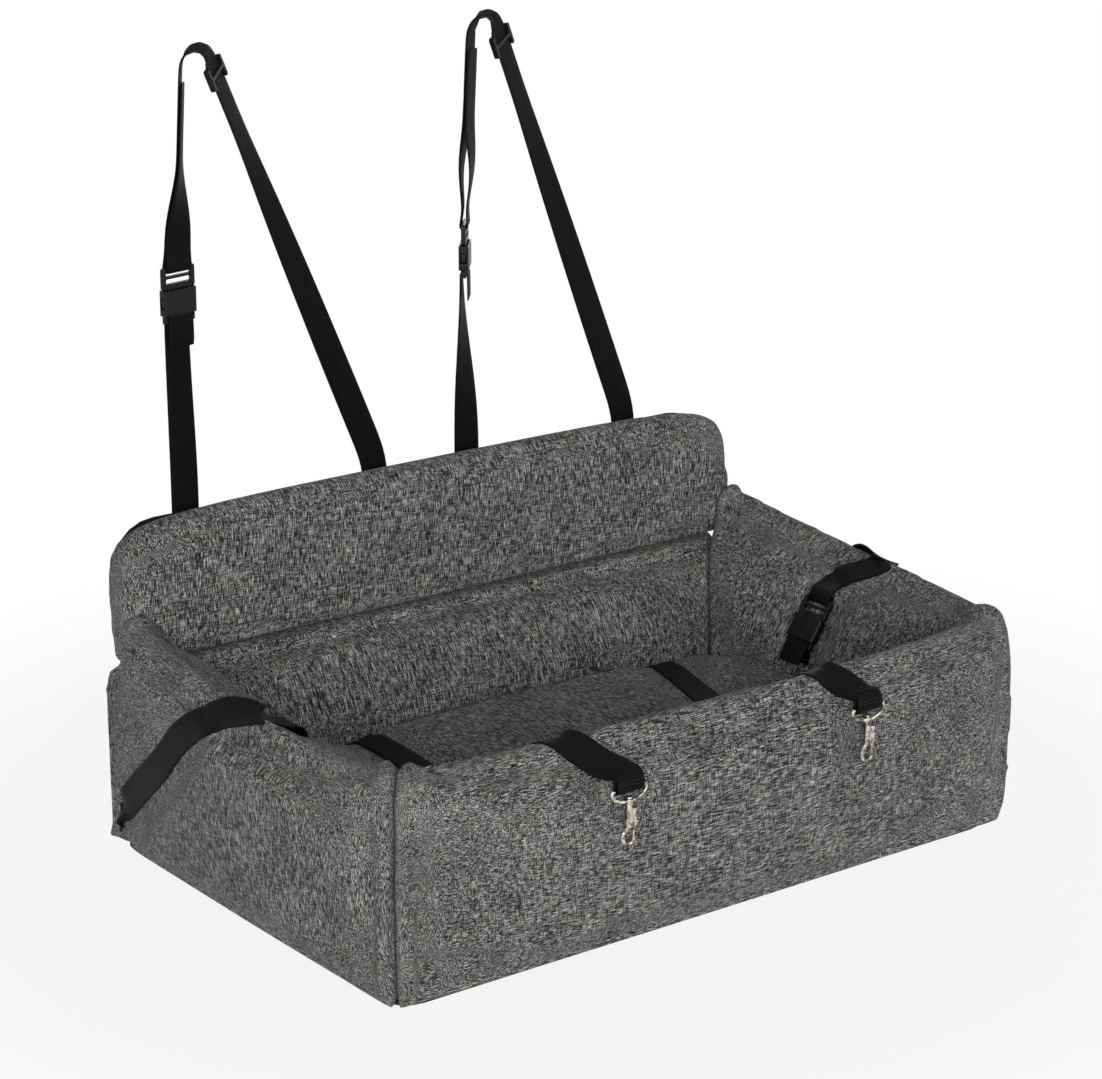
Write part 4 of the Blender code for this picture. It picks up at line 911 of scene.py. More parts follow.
    def build(self) -> bpy.types.Object:
        """Returns:
            The finished piece.
        """
        piece = self.rounded()
        base, outward = points_of(piece.data), normals_of(piece.data)
        room, free, pressed = self.travel(base)
        travelled = self.stuffed(piece) - base
        swell = np.einsum("ij,ij->i", travelled, outward)
        shift = swell + self.puckers(base) + self.creases(base)
        shift = np.maximum(shift, -self.inward * free)
        shift = np.minimum(shift * (1 - pressed) + room * pressed, room)
        slide = travelled - outward * swell[:, None]
        slide = np.clip(slide, -self.slide, self.slide) * free[:, None]
        grounded = smoothstep(base[:, 2], *self.ground_ease)[:, None]
        move_points(piece.data, base + (outward * shift[:, None] + slide) * grounded)
        relax(piece.data, rounds=1, share=0.4)
        subdivide(piece, levels=1)
        write_attribute(piece.data, "weave", self.weave(piece.data))
        dress(piece, self.material, self.body.value,
              [self.part + "_cover", self.part + "_filling"])
        return piece


@dataclass
class WebbingStrap:
    """One length of flat webbing, sewn or threaded in place."""

    node: str
    body: Body
    material: bpy.types.Material
    fineness: int = 2
    sharp: float = 0.9
    edge_hold: float = 0.8
    flat_shape: float = 2.5
    edge_width: float = 0.0009
    edge_area: float = 3e-6

    def spread(self, mesh: bpy.types.Mesh, starts: Iterable[int]) -> np.ndarray:
        """Measure along the mesh's edges from some of its points.

        Args:
            mesh: the strap's mesh.
            starts: the points at distance zero.

        Returns:
            The distance of every point.
        """
        points = points_of(mesh)
        beside: list[list[tuple[int, float]]] = [[] for _ in points]
        for edge in mesh.edges:
            first, second = edge.vertices
            length = float(np.linalg.norm(points[first] - points[second]))
            beside[first].append((second, length))
            beside[second].append((first, length))
        away = [math.inf] * len(points)
        queue = [(0.0, start) for start in starts]
        for _, start in queue:
            away[start] = 0.0
        heapq.heapify(queue)
        while queue:
            done, here = heapq.heappop(queue)
            if done > away[here]:
                continue
            for there, length in beside[here]:
                if done + length < away[there] - TINY:
                    away[there] = done + length
                    heapq.heappush(queue, (away[there], there))
        return np.array([0.0 if math.isinf(value) else value for value in away])

    def build(self) -> bpy.types.Object:
        """Round the strap's run, keep its edges crisp and dress it.

        Returns:
            The finished strap.
        """
        mesh = merged_copy([self.node])
        bmesh.ops.join_triangles(mesh, faces=mesh.faces, angle_face_threshold=self.sharp,
                                 angle_shape_threshold=self.flat_shape)
        crease = mesh.edges.layers.float.new("crease_edge")
        marks = mesh.verts.layers.float.new("end")
        crisp = {edge for edge in mesh.edges
                 if len(edge.link_faces) == 2 and edge.calc_face_angle(0) > self.sharp}
        for edge in crisp:
            edge[crease] = self.edge_hold
        for face in mesh.faces:
            if len(face.verts) == 4 and crisp.issuperset(face.edges):
                for vert in face.verts:
                    vert[marks] = 1.0
        piece = new_piece(self.node + "_woven", mesh)
        subdivide(piece, self.fineness)
        data = piece.data
        ends = np.empty(len(data.vertices), np.float32)
        data.attributes["end"].data.foreach_get("value", ends)
        first = np.flatnonzero(ends > 0.9)
        along = self.spread(data, first[:1] if len(first) else [0])
        across = self.spread(data, np.flatnonzero(self.edge_points(data)))
        write_attribute(data, "run", np.stack([along, across, np.zeros(len(along))], axis=1))
        dress(piece, self.material, self.body.value, [self.node])
        return piece

    def edge_points(self, mesh: bpy.types.Mesh) -> np.ndarray:
        """Return which points lie on the strap's narrow edge faces."""
        narrow = np.zeros(len(mesh.vertices), bool)
        points = points_of(mesh)
        for face in mesh.polygons:
            corners = points[list(face.vertices)]
            sides = np.linalg.norm(corners - np.roll(corners, 1, axis=0), axis=1)
            if sides.min() < self.edge_width and face.area < self.edge_area:
                narrow[list(face.vertices)] = True
        return narrow


@dataclass(frozen=True)
class ThreadRun:
    """One line of stitches, as the points that its needle holes follow."""

    points: tuple[tuple[float, float, float], ...]


def spline(points: Sequence[Sequence[float]], step: float) -> tuple[np.ndarray, np.ndarray]:
    """Run a smooth curve through points and space it evenly.

    Args:
        points: the points.
        step: the spacing wanted.

    Returns:
        The curve's points, and for each the number of the given point it has reached.
    """
    given = np.array(points, float)
    padded = np.vstack([2 * given[0] - given[1], given, 2 * given[-1] - given[-2]])
    dense, marks = [], []
    for index in range(len(given) - 1):
        before, start, end, after = padded[index:index + 4]
        for share in np.arange(0, 1, 1 / SPAN_SAMPLES):
            dense.append(0.5 * (2 * start + (end - before) * share
                                + (2 * before - 5 * start + 4 * end - after) * share ** 2
                                + (3 * start - before - 3 * end + after) * share ** 3))
            marks.append(index + share)
    dense.append(given[-1])
    marks.append(len(given) - 1.0)
    dense = np.array(dense)
    lengths = np.concatenate([[0], np.cumsum(np.linalg.norm(np.diff(dense, axis=0), axis=1))])
    wanted = np.linspace(0, lengths[-1], max(int(round(lengths[-1] / step)), 2) + 1)
    curve = np.stack([np.interp(wanted, lengths, dense[:, axis]) for axis in range(3)], axis=1)
    return curve, np.interp(wanted, lengths, marks)


def unit(rows: np.ndarray) -> np.ndarray:
    """Scale each row to length one."""
    return rows / np.maximum(np.linalg.norm(rows, axis=1), TINY)[:, None]


def softened(rows: np.ndarray, rounds: int) -> np.ndarray:
    """Average each row with its two neighbours, a number of times, keeping the ends."""
    rows = rows.copy()
    for _ in range(rounds):
        rows[1:-1] = rows[1:-1] / 2 + (rows[:-2] + rows[2:]) / 4
    return rows


@dataclass
class LaidStrap:
    """Webbing that lies over the stuffed walls and is threaded round a bar at one end."""

    node: str
    material: bpy.types.Material
    route: Sequence[Sequence[float]]
    bar_from: int
    bar_across: Sequence[float]
    width: float = 0.032
    thickness: float = 0.0016
    lift: float = 0.0006
    step: float = 0.003
    columns: int = 9
    ease_points: float = 2.0
    curve_rounds: int = 14
    facing_rounds: int = 5
    twist_rounds: int = 10
    press_rounds: int = 4
    thread_lift: float = 0.0003
    seam_margin: float = 0.003
    seam_points: int = 9
    rows: tuple[np.ndarray, np.ndarray, np.ndarray] = field(init=False)

    def build(self, fabric: BVHTree) -> bpy.types.Object:
        """Lay the strap on the finished fabric and dress it.

        Args:
            fabric: the surface of the stuffed pieces.

        Returns:
            The finished strap.
        """
        curve, marks = spline(self.route, self.step)
        loose = smoothstep(marks, self.bar_from - self.ease_points, self.bar_from)[:, None]
        facing = []
        for number, point in enumerate(curve):
            near, normal, _, _ = fabric.find_nearest(Vector(point))
            laid = np.array(near + normal * self.lift)
            curve[number] = laid * (1 - loose[number]) + point * loose[number]
            facing.append(normal)
        curve = softened(curve, self.curve_rounds) * (1 - loose) + curve * loose
        facing = softened(unit(np.array(facing)), self.facing_rounds)
        tangent = unit(np.gradient(curve, axis=0))
        across = unit(np.cross(facing, tangent))
        hint = np.array(self.bar_across, float)
        if across[np.argmin(np.abs(marks - self.bar_from + self.ease_points))] @ hint < 0:
            hint = -hint
        across = softened(across * (1 - loose) + hint * loose, self.twist_rounds)
        across = unit(across - tangent * np.sum(across * tangent, axis=1)[:, None])
        facing = unit(np.cross(tangent, across))
        self.rows = (curve, across, facing)
        offsets = np.linspace(-self.width / 2, self.width / 2, self.columns)
        under = curve[:, None, :] + across[:, None, :] * offsets[None, :, None]
        for number in range(len(curve)):
            if loose[number] > 0.5:
                continue
            for column in range(self.columns):
                spot = Vector(under[number, column])
                near, normal, _, _ = fabric.find_nearest(spot)
                height = (spot - near).dot(normal)
                if height < self.lift:
                    under[number, column] += np.array(normal) * (self.lift - height)
        for column in range(self.columns):
            eased = softened(under[:, column], self.press_rounds)
            under[:, column] = np.where(loose > 0.5, under[:, column], eased)
        return self.finish(under, facing, offsets)

    def finish(self, under: np.ndarray, facing: np.ndarray,
               offsets: np.ndarray) -> bpy.types.Object:
        """Give the laid surface its thickness, its weave's place and its finish.

        Args:
            under: the points of the strap's lower face, by row and column.
            facing: the way out of each row.
            offsets: how far each column is from the strap's middle.

        Returns:
            The finished strap.
        """
        over = under + facing[:, None, :] * self.thickness
        rings = np.concatenate([under, over[:, ::-1]], axis=1)
        count = rings.shape[1]
        faces = [[ring * count + side, ring * count + (side + 1) % count,
                  (ring + 1) * count + (side + 1) % count, (ring + 1) * count + side]
                 for ring in range(len(rings) - 1) for side in range(count)]
        last = (len(rings) - 1) * count
        for start in (0, last):
            for side in range(self.columns - 1):
                faces.append([start + side, start + side + 1, start + count - 2 - side,
                              start + count - 1 - side])
        data = bpy.data.meshes.new(self.node)
        data.from_pydata(rings.reshape(-1, 3).tolist(), [], faces)
        mesh = bmesh.new()
        mesh.from_mesh(data)
        bmesh.ops.recalc_face_normals(mesh, faces=mesh.faces)
        bpy.data.meshes.remove(data)
        piece = new_piece(self.node + "_woven", mesh)
        piece.data.shade_smooth()
        along = np.repeat(np.arange(len(rings)) * self.step, count)
        edge = self.width / 2 - np.abs(np.concatenate([offsets, offsets[::-1]]))
        write_attribute(piece.data, "run", np.stack(
            [along, np.tile(edge, len(rings)), np.zeros(len(along))], axis=1))
        dress(piece, self.material, Body.SEAT.value, [self.node])
        return piece

    def seam_across(self, distance: float) -> ThreadRun:
        """Mark a line of stitches across the strap.

        Args:
            distance: how far it is from the strap's last point, along the strap.

        Returns:
            The line.
        """
        curve, across, facing = self.rows
        row = len(curve) - 1 - int(round(distance / self.step))
        middle = curve[row] + facing[row] * (self.thickness + self.thread_lift)
        reach = self.width / 2 - self.seam_margin
        return ThreadRun(tuple(tuple(middle + across[row] * reach * share)
                               for share in np.linspace(-1, 1, self.seam_points)))


@dataclass
class CastPiece:
    """A moulded or cast piece of hardware, with its edges softly rounded."""

    node: str
    body: str
    material: bpy.types.Material
    slot: Slot
    voxel: float

    def build(self) -> bpy.types.Object:
        """Remesh the CAD solid finely and smooth it.

        Returns:
            The finished piece.
        """
        piece = new_piece(self.node + "_finished", merged_copy([self.node]))
        remesh(piece, self.voxel, rounds=3, share=0.6)
        dress(piece, self.material, self.body, [self.node])
        return piece


@dataclass
class ClothSheet:
    """A thin coated cloth sewn flat under or behind the seat."""

    node: str
    body: Body
    material: bpy.types.Material
    cell: float = 0.012
    ripple: float = 0.0005
    ripple_scale: float = 17.0
    calm_edge: float = 0.03
    trim: float = 0.0
    sewn_to: tuple[str, ...] = ()

    def build(self) -> bpy.types.Object:
        """Cut the CAD sheet into small squares, ripple it and dress it.

        Returns:
            The finished sheet.
        """
        low, high = (Vector(corner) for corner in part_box(self.node))
        mesh = merged_copy([self.node])
        size = high - low
        thin = min(range(3), key=lambda axis: size[axis])
        wide = [axis for axis in range(3) if axis != thin]
        for axis in wide:
            for step in range(1, int(size[axis] / self.cell)):
                place, normal = Vector(low), Vector((0, 0, 0))
                place[axis] += step * self.cell
                normal[axis] = 1
                bmesh.ops.bisect_plane(
                    mesh, geom=mesh.verts[:] + mesh.edges[:] + mesh.faces[:],
                    dist=MERGE_DISTANCE, plane_co=place, plane_no=normal)
        centre = (low + high) / 2
        for vert in mesh.verts:
            for axis in wide:
                share = 1 - 2 * self.trim / size[axis]
                vert.co[axis] = centre[axis] + (vert.co[axis] - centre[axis]) * share
            inside = min(min(vert.co[axis] - low[axis], high[axis] - vert.co[axis])
                         for axis in wide)
            depth = self.ripple * min(max(inside / self.calm_edge, 0), 1)
            wave = noise.noise(vert.co * self.ripple_scale) * 0.5 - 0.5
            vert.co[thin] += math.copysign(depth, vert.co[thin] - centre[thin]) * wave
        piece = new_piece(self.node + "_cloth", mesh)
        dress(piece, self.material, self.body.value, [self.node])
        return piece


@dataclass
class Stitching:
    """Lines of stitches laid on finished pieces by Geometry Nodes."""

    material: bpy.types.Material
    pitch: float = 0.0042
    stitch_length: float = 0.0034
    thread_radius: float = 0.00045

    def sizes(self) -> dict[str, float]:
        """Return the tree's inputs and their values."""
        return {"Pitch": self.pitch, "Stitch Length": self.stitch_length,
                "Thread Radius": self.thread_radius}

    def tree(self) -> Tree:
        """Build the tree that turns lines into rows of short thread loops.

        Returns:
            The Geometry Nodes tree.
        """
        tree = bpy.data.node_groups.new("Stitch rows", "GeometryNodeTree")
        tree.interface.new_socket("Geometry", in_out="INPUT", socket_type="NodeSocketGeometry")
        for name, default in self.sizes().items():
            socket = tree.interface.new_socket(name, in_out="INPUT", socket_type="NodeSocketFloat")
            socket.default_value = default
        tree.interface.new_socket("Geometry", in_out="OUTPUT", socket_type="NodeSocketGeometry")
        given = add_node(tree, "NodeGroupInput").outputs
        curve = add_node(tree, "GeometryNodeMeshToCurve", {"Mesh": given["Geometry"]})
        holes = add_node(tree, "GeometryNodeResampleCurve", {
            "Curve": curve.outputs[0], "Length": given["Pitch"]}, mode="LENGTH")
        way = add_node(tree, "GeometryNodeInputTangent")
        turned = add_node(tree, "FunctionNodeAlignEulerToVector", {"Vector": way.outputs[0]},
                          axis="X")
        loop = add_node(tree, "GeometryNodeMeshUVSphere", {
            "Segments": 6, "Rings": 5, "Radius": 1.0})
        half = add_node(tree, "ShaderNodeMath", {0: given["Stitch Length"], 1: 0.5},
                        operation="MULTIPLY")
        size = add_node(tree, "ShaderNodeCombineXYZ", {
            "X": half.outputs[0],
            "Y": given["Thread Radius"], "Z": given["Thread Radius"]})
        rows = add_node(tree, "GeometryNodeInstanceOnPoints", {
            "Points": holes.outputs[0], "Instance": loop.outputs["Mesh"],
            "Rotation": turned.outputs[0], "Scale": size.outputs[0]})
        real = add_node(tree, "GeometryNodeRealizeInstances", {0: rows.outputs[0]})
        thread = add_node(tree, "GeometryNodeSetMaterial", {
            "Geometry": real.outputs[0], "Material": self.material})
        add_node(tree, "NodeGroupOutput", {0: thread.outputs[0]})
        return tree

    def build(self, name: str, body: Body, runs: Sequence[ThreadRun]) -> bpy.types.Object:
        """Sew lines of stitches that ride on one body.

        Args:
            name: the piece's name.
            body: the body that it rides on.
            runs: the lines of stitches.

        Returns:
            The stitches as one mesh.
        """
        mesh = bmesh.new()
        for run in runs:
            corners = [mesh.verts.new(point) for point in run.points]
            for first, second in zip(corners, corners[1:]):
                mesh.edges.new((first, second))
        piece = new_piece(name, mesh)
        tree = self.tree()
        sewing = piece.modifiers.new("Sewing", "NODES")
        sewing.node_group = tree
        values = self.sizes()
        for item in tree.interface.items_tree:
            if item.in_out == "INPUT" and item.name in values:
                sewing[item.identifier] = values[item.name]
        bake(piece)
        dress(piece, self.material, body.value, [])
        return piece


def laid_line(piece: bpy.types.Object, start: Vector, end: Vector, ray: Vector,
              lift: float = 0.0002, steps: int = 12) -> ThreadRun:
    """Drop a straight line onto a piece.

    Args:
        piece: the piece that it lands on.
        start: the line's first point, clear of the piece.
        end: its last point.
        ray: the way that it drops.
        lift: how far the line stays off the surface.
        steps: how many spans it is cut into.

    Returns:
        The line where it lands.
    """
    tree = surface_of(piece.data)
    landed = []
    for step in range(steps + 1):
        hit = tree.ray_cast(start.lerp(end, step / steps), ray)[0]
        if hit is not None:
            landed.append(tuple(hit - ray.normalized() * lift))
    return ThreadRun(tuple(landed))


def shown_ray(tree: Tree) -> Socket:
    """Tell the rays that show the background from those that light the seat.

    Args:
        tree: the material's or the world's node tree.

    Returns:
        The socket that is 1 for a ray from the camera, a gloss or a glass, and 0 for others.
    """
    path = add_node(tree, "ShaderNodeLightPath").outputs
    gloss = add_node(tree, "ShaderNodeMath", {
        0: path["Is Camera Ray"], 1: path["Is Glossy Ray"]}, operation="MAXIMUM")
    seen = add_node(tree, "ShaderNodeMath", {
        0: gloss.outputs[0], 1: path["Is Transmission Ray"]}, operation="MAXIMUM")
    return seen.outputs[0]


@dataclass(frozen=True)
class Lamp:
    """One soft square lamp, aimed at the middle of the seat."""

    name: str
    place: tuple[float, float, float]
    side: float
    watts: float
    aim: tuple[float, float, float] = (0.0, 0.0, 0.25)

    def build(self) -> None:
        """Hang the lamp."""
        data = bpy.data.lights.new(self.name, "AREA")
        data.shape = "SQUARE"
        data.size = self.side
        data.energy = self.watts
        lamp = bpy.data.objects.new(self.name, data)
        lamp.location = self.place
        ray = Vector(self.aim) - Vector(self.place)
        lamp.rotation_euler = ray.to_track_quat("-Z", "Y").to_euler()
        bpy.context.scene.collection.objects.link(lamp)


@dataclass
class Stage:
    """The pale floor, the soft lamps and the camera."""

    floor_colour: str = "f4f5f7"
    cloud_colour: str = "fafafa"
    cloud_scale: float = 0.6
    floor_size: float = 14.0
    shadow_reach: float = 0.55
    shadow_end: float = 1.1
    white_share: float = 0.86
    room_colour: str = "eef1f5"
    room_strength: float = 0.14
    camera_target: tuple[float, float, float] = (-0.0135, -0.005, 0.3275)
    camera_distance: float = 3.38
    azimuth: float = -37.0
    elevation: float = 17.4
    lens: float = 107.8
    sensor: float = 36.0

    def floor(self) -> bpy.types.Object:
        """Lay the pale floor.

        Returns:
            The floor.
        """
        material, tree = blank_material("studio_floor_painted")
        place = add_node(tree, "ShaderNodeTexCoord").outputs["Object"]
        cloudy = add_node(tree, "ShaderNodeTexNoise", {"Vector": place, "Scale": self.cloud_scale})
        tones = fill_ramp(add_node(tree, "ShaderNodeValToRGB", {"Fac": cloudy.outputs["Fac"]}),
                          (0.0, self.floor_colour), (1.0, self.cloud_colour))
        shader = add_node(tree, "ShaderNodeBsdfPrincipled", {
            "Base Color": tones, "Roughness": 0.9})
        away = add_node(tree, "ShaderNodeVectorMath", {0: place}, operation="LENGTH")
        fading = add_node(tree, "ShaderNodeMapRange", {
            0: away.outputs["Value"], 1: self.shadow_reach, 2: self.shadow_end,
            3: self.white_share, 4: 1.0}, interpolation_type="SMOOTHSTEP")
        share = add_node(tree, "ShaderNodeMath", {
            0: fading.outputs[0], 1: shown_ray(tree)}, operation="MULTIPLY")
        white = add_node(tree, "ShaderNodeEmission", {"Color": (1, 1, 1, 1), "Strength": 1.0})
        mix = add_node(tree, "ShaderNodeMixShader", {
            0: share.outputs[0], 1: shader.outputs[0], 2: white.outputs[0]})
        add_node(tree, "ShaderNodeOutputMaterial", {"Surface": mix.outputs[0]})
        mesh = bmesh.new()
        bmesh.ops.create_grid(mesh, x_segments=8, y_segments=8, size=self.floor_size / 2)
        floor = new_piece("studio_floor", mesh)
        floor.data.materials.append(material)
        return floor

    def world(self) -> bpy.types.World:
        """Make the room: dim as a light, white where it is seen.

        Returns:
            The world.
        """
        world = bpy.data.worlds.new("studio")
        world.use_nodes = True
        tree = world.node_tree
        tree.nodes.clear()
        room = add_node(tree, "ShaderNodeBackground", {
            "Color": linear(self.room_colour), "Strength": self.room_strength})
        white = add_node(tree, "ShaderNodeBackground", {"Color": (1, 1, 1, 1), "Strength": 1.0})
        mix = add_node(tree, "ShaderNodeMixShader", {
            0: shown_ray(tree), 1: room.outputs[0], 2: white.outputs[0]})
        add_node(tree, "ShaderNodeOutputWorld", {"Surface": mix.outputs[0]})
        return world

    def camera(self) -> bpy.types.Object:
        """Set up the camera.

        Returns:
            The camera.
        """
        turn, tilt = math.radians(self.azimuth), math.radians(self.elevation)
        away = Vector((math.sin(turn) * math.cos(tilt), -math.cos(turn) * math.cos(tilt),
                       math.sin(tilt)))
        data = bpy.data.cameras.new("camera")
        data.lens = self.lens
        data.sensor_width = self.sensor
        camera = bpy.data.objects.new("camera", data)
        camera.location = Vector(self.camera_target) + away * self.camera_distance
        camera.rotation_euler = (-away).to_track_quat("-Z", "Y").to_euler()
        bpy.context.scene.collection.objects.link(camera)
        return camera

    def build(self) -> None:
        """Set the room, the lamps and the camera."""
        scene = bpy.context.scene
        scene.view_settings.view_transform = "Standard"
        self.floor()
        scene.world = self.world()
        for lamp in (Lamp("key_lamp", (-5.0, -7.5, 2.8), side=3.8, watts=615),
                     Lamp("fill_lamp", (5.0, -7.2, 1.9), side=4.6, watts=60),
                     Lamp("top_lamp", (-0.6, 0.6, 3.1), side=2.6, watts=4),
                     Lamp("rear_lamp", (4.4, 4.6, 1.8), side=3.4, watts=80)):
            lamp.build()
        scene.camera = self.camera()


@dataclass
class Seat:
    """The stuffed seat: three bolsters, the back roll, the mat and the underside."""

    wardrobe: Wardrobe

    def build(self) -> None:
        """Make every soft part of the seat."""
        round_way, long_way = self.wardrobe.round_fabric, self.wardrobe.long_fabric
        parts = {"front_bolster": (Axis.X, long_way, 0.8), "left_bolster": (Axis.Y, round_way, 0.8),
                 "right_bolster": (Axis.Y, round_way, 0.8), "back_roll": (Axis.X, round_way, 0.7),
                 "seat_cushion": (Axis.X, round_way, 0.55)}
        for name, (axis, fabric, fill) in parts.items():
            StuffedPiece(name, Body.SEAT, axis, fabric, fill).build()
        ClothSheet("base_underside", Body.SEAT, self.wardrobe.oxford, sewn_to=tuple(parts)).build()


@dataclass
class BackPanel:
    """The folding panel and the black cloth on its back."""

    wardrobe: Wardrobe

    def build(self) -> None:
        """Make the panel and its backing."""
        StuffedPiece("back_panel", Body.PANEL, Axis.X, self.wardrobe.round_fabric, fill=0.7,
                     voxel=0.005, outward=0.003, inward=0.001).build()
        ClothSheet("back_panel_backing", Body.PANEL, self.wardrobe.oxford, trim=0.005,
                   sewn_to=("back_panel",)).build()


STUFFED = [name[:-len("_cover")] for name in COVERS]

# Where the middle of each laid strap runs over the fabric
TETHER_ROUTES = {
    "left": ((-0.181, 0.108, 0.112), (-0.188, 0.060, 0.121), (-0.193, 0.0, 0.127),
             (-0.200, -0.060, 0.127), (-0.206, -0.118, 0.124), (-0.210, -0.160, 0.135),
             (-0.212, -0.190, 0.165), (-0.213, -0.220, 0.205), (-0.213, -0.246, 0.232),
             (-0.210, -0.268, 0.240), (-0.202, -0.284, 0.236), (-0.190, -0.292, 0.227),
             (-0.177, -0.299, 0.216), (-0.165, -0.308, 0.208)),
    "right": ((0.207, 0.112, 0.112), (0.196, 0.060, 0.119), (0.180, 0.010, 0.124),
              (0.158, -0.060, 0.127), (0.135, -0.118, 0.124), (0.122, -0.160, 0.135),
              (0.114, -0.190, 0.165), (0.108, -0.220, 0.205), (0.106, -0.246, 0.232),
              (0.109, -0.268, 0.240), (0.116, -0.284, 0.238), (0.125, -0.292, 0.232),
              (0.135, -0.300, 0.225), (0.142, -0.309, 0.219)),
}
SIDE_ROUTE = ((0.387, 0.246, 0.031), (0.393, 0.226, 0.047), (0.400, 0.200, 0.066),
              (0.411, 0.160, 0.097), (0.420, 0.102, 0.142), (0.423, 0.055, 0.186),
              (0.424, 0.015, 0.215), (0.420, -0.019, 0.236), (0.414, -0.046, 0.246),
              (0.406, -0.062, 0.250), (0.397, -0.064, 0.247), (0.387, -0.054, 0.236),
              (0.376, -0.036, 0.225), (0.366, -0.024, 0.215))
HALF_TURN = [math.pi * step / 4 for step in range(5)]


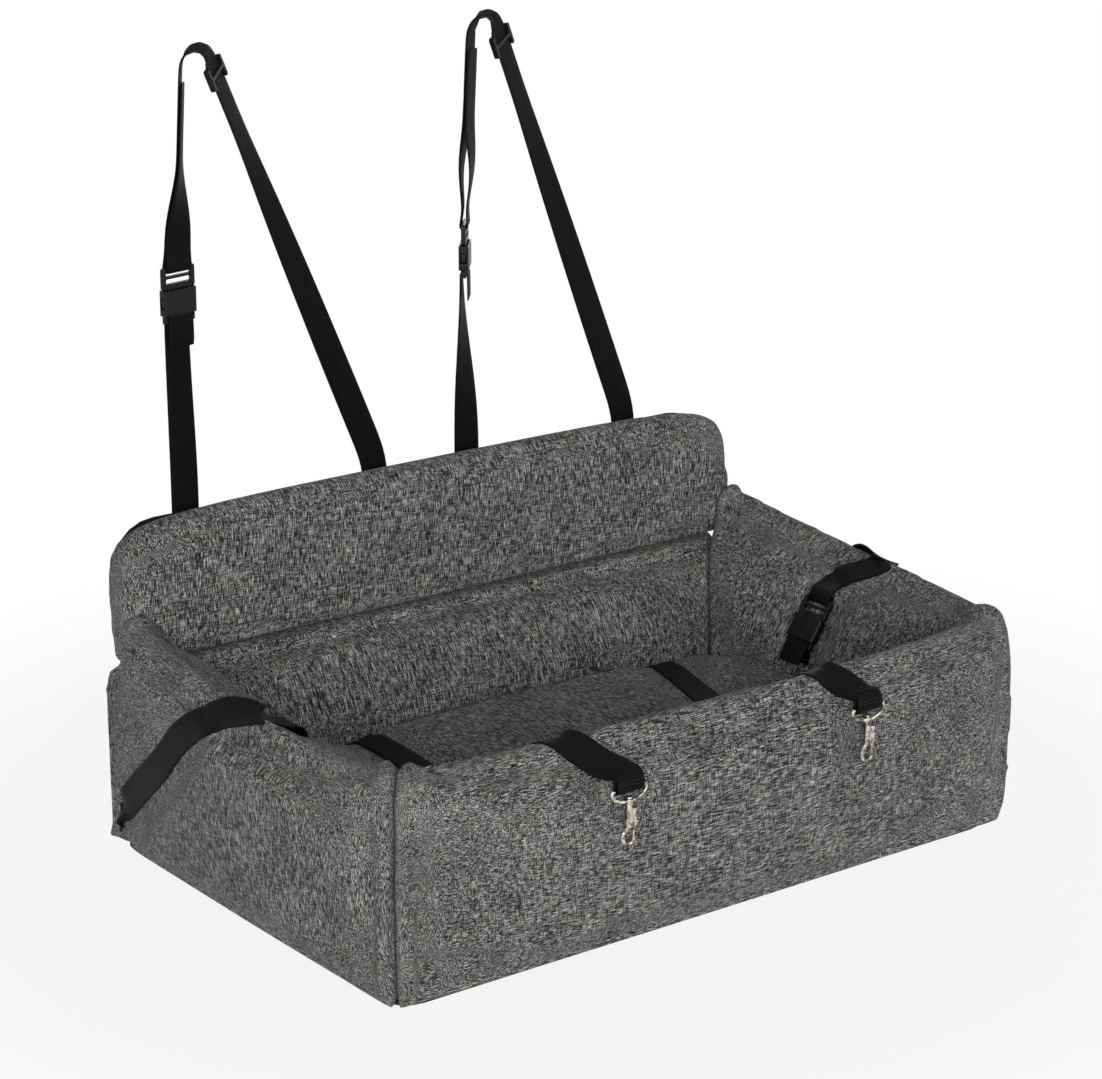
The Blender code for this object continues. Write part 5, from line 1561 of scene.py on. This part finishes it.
@dataclass
class Harness:
    """All the webbing, the buckles, the glides and the snap hooks."""

    wardrobe: Wardrobe
    buckle_voxel: float = 0.0006
    hook_voxel: float = 0.0004
    hem_rise: float = 0.009
    tail_length: float = 0.022
    seam_gap: float = 0.003
    eye_wire: float = 0.0018
    plug_bar: float = 0.0035
    bar_play: float = 0.0005
    lap: float = 0.0002
    rise: float = 0.0125
    tail_from: float = 0.008
    tail_end: float = 0.017
    tail_lean: float = 0.0018
    plug_lead: float = 0.012
    plug_tail: float = 0.009
    box_half: float = 0.012
    box_foot: float = 0.004
    box_height: float = 0.022
    foot_reach: float = 0.012
    sewn_from: float = 0.03

    def tether_route(self, side: str) -> list[tuple[float, float, float]]:
        """Take a tether from the mat over the front wall, round the eye's bar and back up.

        Args:
            side: left or right.

        Returns:
            The strap's route, ending in its tail.
        """
        low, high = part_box(f"hook_{side}_eye")
        x, y, z = (low[0] + high[0]) / 2, (low[1] + high[1]) / 2, high[2] - self.eye_wire
        turn = self.eye_wire + self.bar_play
        round_bar = [(x, y - turn * math.cos(angle), z - turn * math.sin(angle))
                     for angle in HALF_TURN]
        rise = [(x, y + self.lap, z + self.rise)]
        tail = [(x, y + turn + self.lap, z + self.tail_from),
                (x, y + turn + self.tail_lean, z + self.tail_end)]
        return list(TETHER_ROUTES[side]) + rise + round_bar + tail

    def side_route(self, side: str) -> list[tuple[float, float, float]]:
        """Take a side strap from its rear foot over the wall to the plug's bar.

        Args:
            side: left or right.

        Returns:
            The strap's route, ending in its tail.
        """
        sign = -1 if side == "left" else 1
        route = [(sign * x, y, z) for x, y, z in SIDE_ROUTE]
        plug, socket = ([vertex.co.copy() for vertex in
                         frame["nodes"][f"side_buckle_{side}_{half}"].data.vertices]
                        for half in ("plug", "socket"))
        along = (sum(plug, Vector()) / len(plug) - sum(socket, Vector()) / len(socket)).normalized()
        out = Vector((-sign * along.z, 0, sign * along.x)).normalized()
        top = max(point.dot(along) for point in plug) - self.plug_bar / 2
        low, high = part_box(f"side_buckle_{side}_plug")
        middle = (Vector(low) + Vector(high)) / 2
        bar = middle + along * (top - middle.dot(along))
        turn = self.plug_bar / 2 + self.bar_play
        lead = bar + along * self.plug_lead + out * turn / 2
        points = [lead] + [bar + (out * math.cos(angle) - along * math.sin(angle)) * turn
                           for angle in HALF_TURN]
        points.append(bar - out * turn + along * self.plug_tail)
        return route + [tuple(point) for point in points]

    def straps(self) -> dict[str, bpy.types.Object]:
        """Make the webbing that keeps its CAD run.

        Returns:
            Each strap by its node's name.
        """
        made = {}
        for node in STRAPS:
            if node.startswith("tether") or node.endswith("outer"):
                continue
            body = Body.PANEL if node.startswith("headrest") else Body.SEAT
            made[node] = WebbingStrap(node, body, self.wardrobe.webbing).build()
        return made

    def laid(self) -> None:
        """Lay the tethers and the side straps over the fabric, and sew the tethers' hems."""
        mesh = bmesh.new()
        for piece in bpy.context.scene.objects:
            if piece.name in STUFFED:
                mesh.from_mesh(piece.data)
        fabric = BVHTree.FromBMesh(mesh)
        mesh.free()
        sewing = Stitching(self.wardrobe.thread)
        for side in ("left", "right"):
            strap = LaidStrap(f"tether_strap_{side}", self.wardrobe.webbing,
                              self.tether_route(side), len(TETHER_ROUTES[side]), (1, 0, 0))
            strap.build(fabric)
            hem = self.tail_length + self.hem_rise
            sewing.build(f"tether_hem_{side}", Body.SEAT,
                         [strap.seam_across(hem), strap.seam_across(hem + self.seam_gap)])
            LaidStrap(f"side_strap_{side}_outer", self.wardrobe.webbing,
                      self.side_route(side), len(SIDE_ROUTE), (0, 1, 0)).build(fabric)

    def hardware(self) -> None:
        """Make the plastic and the metal pieces."""
        bodies = {node: body for body, nodes in frame["record"]["behaviour"]["bodies"].items()
                  for node in nodes}
        for node in BUCKLES + [name for name in frame["nodes"] if name.startswith("glide")]:
            CastPiece(node, bodies[node], self.wardrobe.acetal, Slot.ACETAL,
                      self.buckle_voxel).build()
        for node in frame["nodes"]:
            if node.startswith("hook") and not node.endswith("spring"):
                CastPiece(node, bodies[node], self.wardrobe.nickel, Slot.NICKEL,
                          self.hook_voxel).build()
        for side in ("left", "right"):
            self.spring(side)

    def spring(self, side: str) -> None:
        """Dress a hook's return spring in its CAD shape, on the hook's body, with a mesh of its
        own.

        Args:
            side: left or right.
        """
        node, joint = f"hook_{side}_spring", f"hook_{side}_bolt_slide"
        piece = new_piece(node + "_wound", merged_copy([node]))
        dress(piece, self.wardrobe.nickel, f"hook_{side}", [node])
        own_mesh(piece)

    def sew_feet(self, straps: dict[str, bpy.types.Object]) -> None:
        """Sew a crossed box through the foot of each headrest strap.

        Args:
            straps: the straps by name.
        """
        runs = []
        for node, strap in straps.items():
            if not node.startswith("headrest"):
                continue
            foot = min((vertex.co for vertex in strap.data.vertices), key=lambda spot: spot.z).z
            near = [vertex.co for vertex in strap.data.vertices
                    if vertex.co.z < foot + self.foot_reach]
            middle = sum(near, Vector()) / len(near)
            corners = [Vector((middle.x + self.box_half * across, middle.y + self.sewn_from,
                               foot + self.box_foot + self.box_height * up))
                       for across, up in ((-1, 0), (1, 0), (1, 1), (-1, 1))]
            for first, second in ((0, 1), (1, 2), (2, 3), (3, 0), (0, 2), (1, 3)):
                run = laid_line(strap, corners[first], corners[second], Vector((0, -1, 0)))
                if len(run.points) > 1:
                    runs.append(run)
        Stitching(self.wardrobe.thread).build("headrest_strap_boxes", Body.PANEL, runs)

    def build(self) -> None:
        """Make the whole harness."""
        self.laid()
        self.sew_feet(self.straps())
        self.hardware()


def main() -> None:
    """Build the scene in order."""
    logging.basicConfig(level=logging.INFO, format="%(name)s: %(message)s")
    Stage().build()
    wardrobe = Wardrobe()
    Seat(wardrobe).build()
    BackPanel(wardrobe).build()
    Harness(wardrobe).build()


if __name__ == "__main__":
    main()
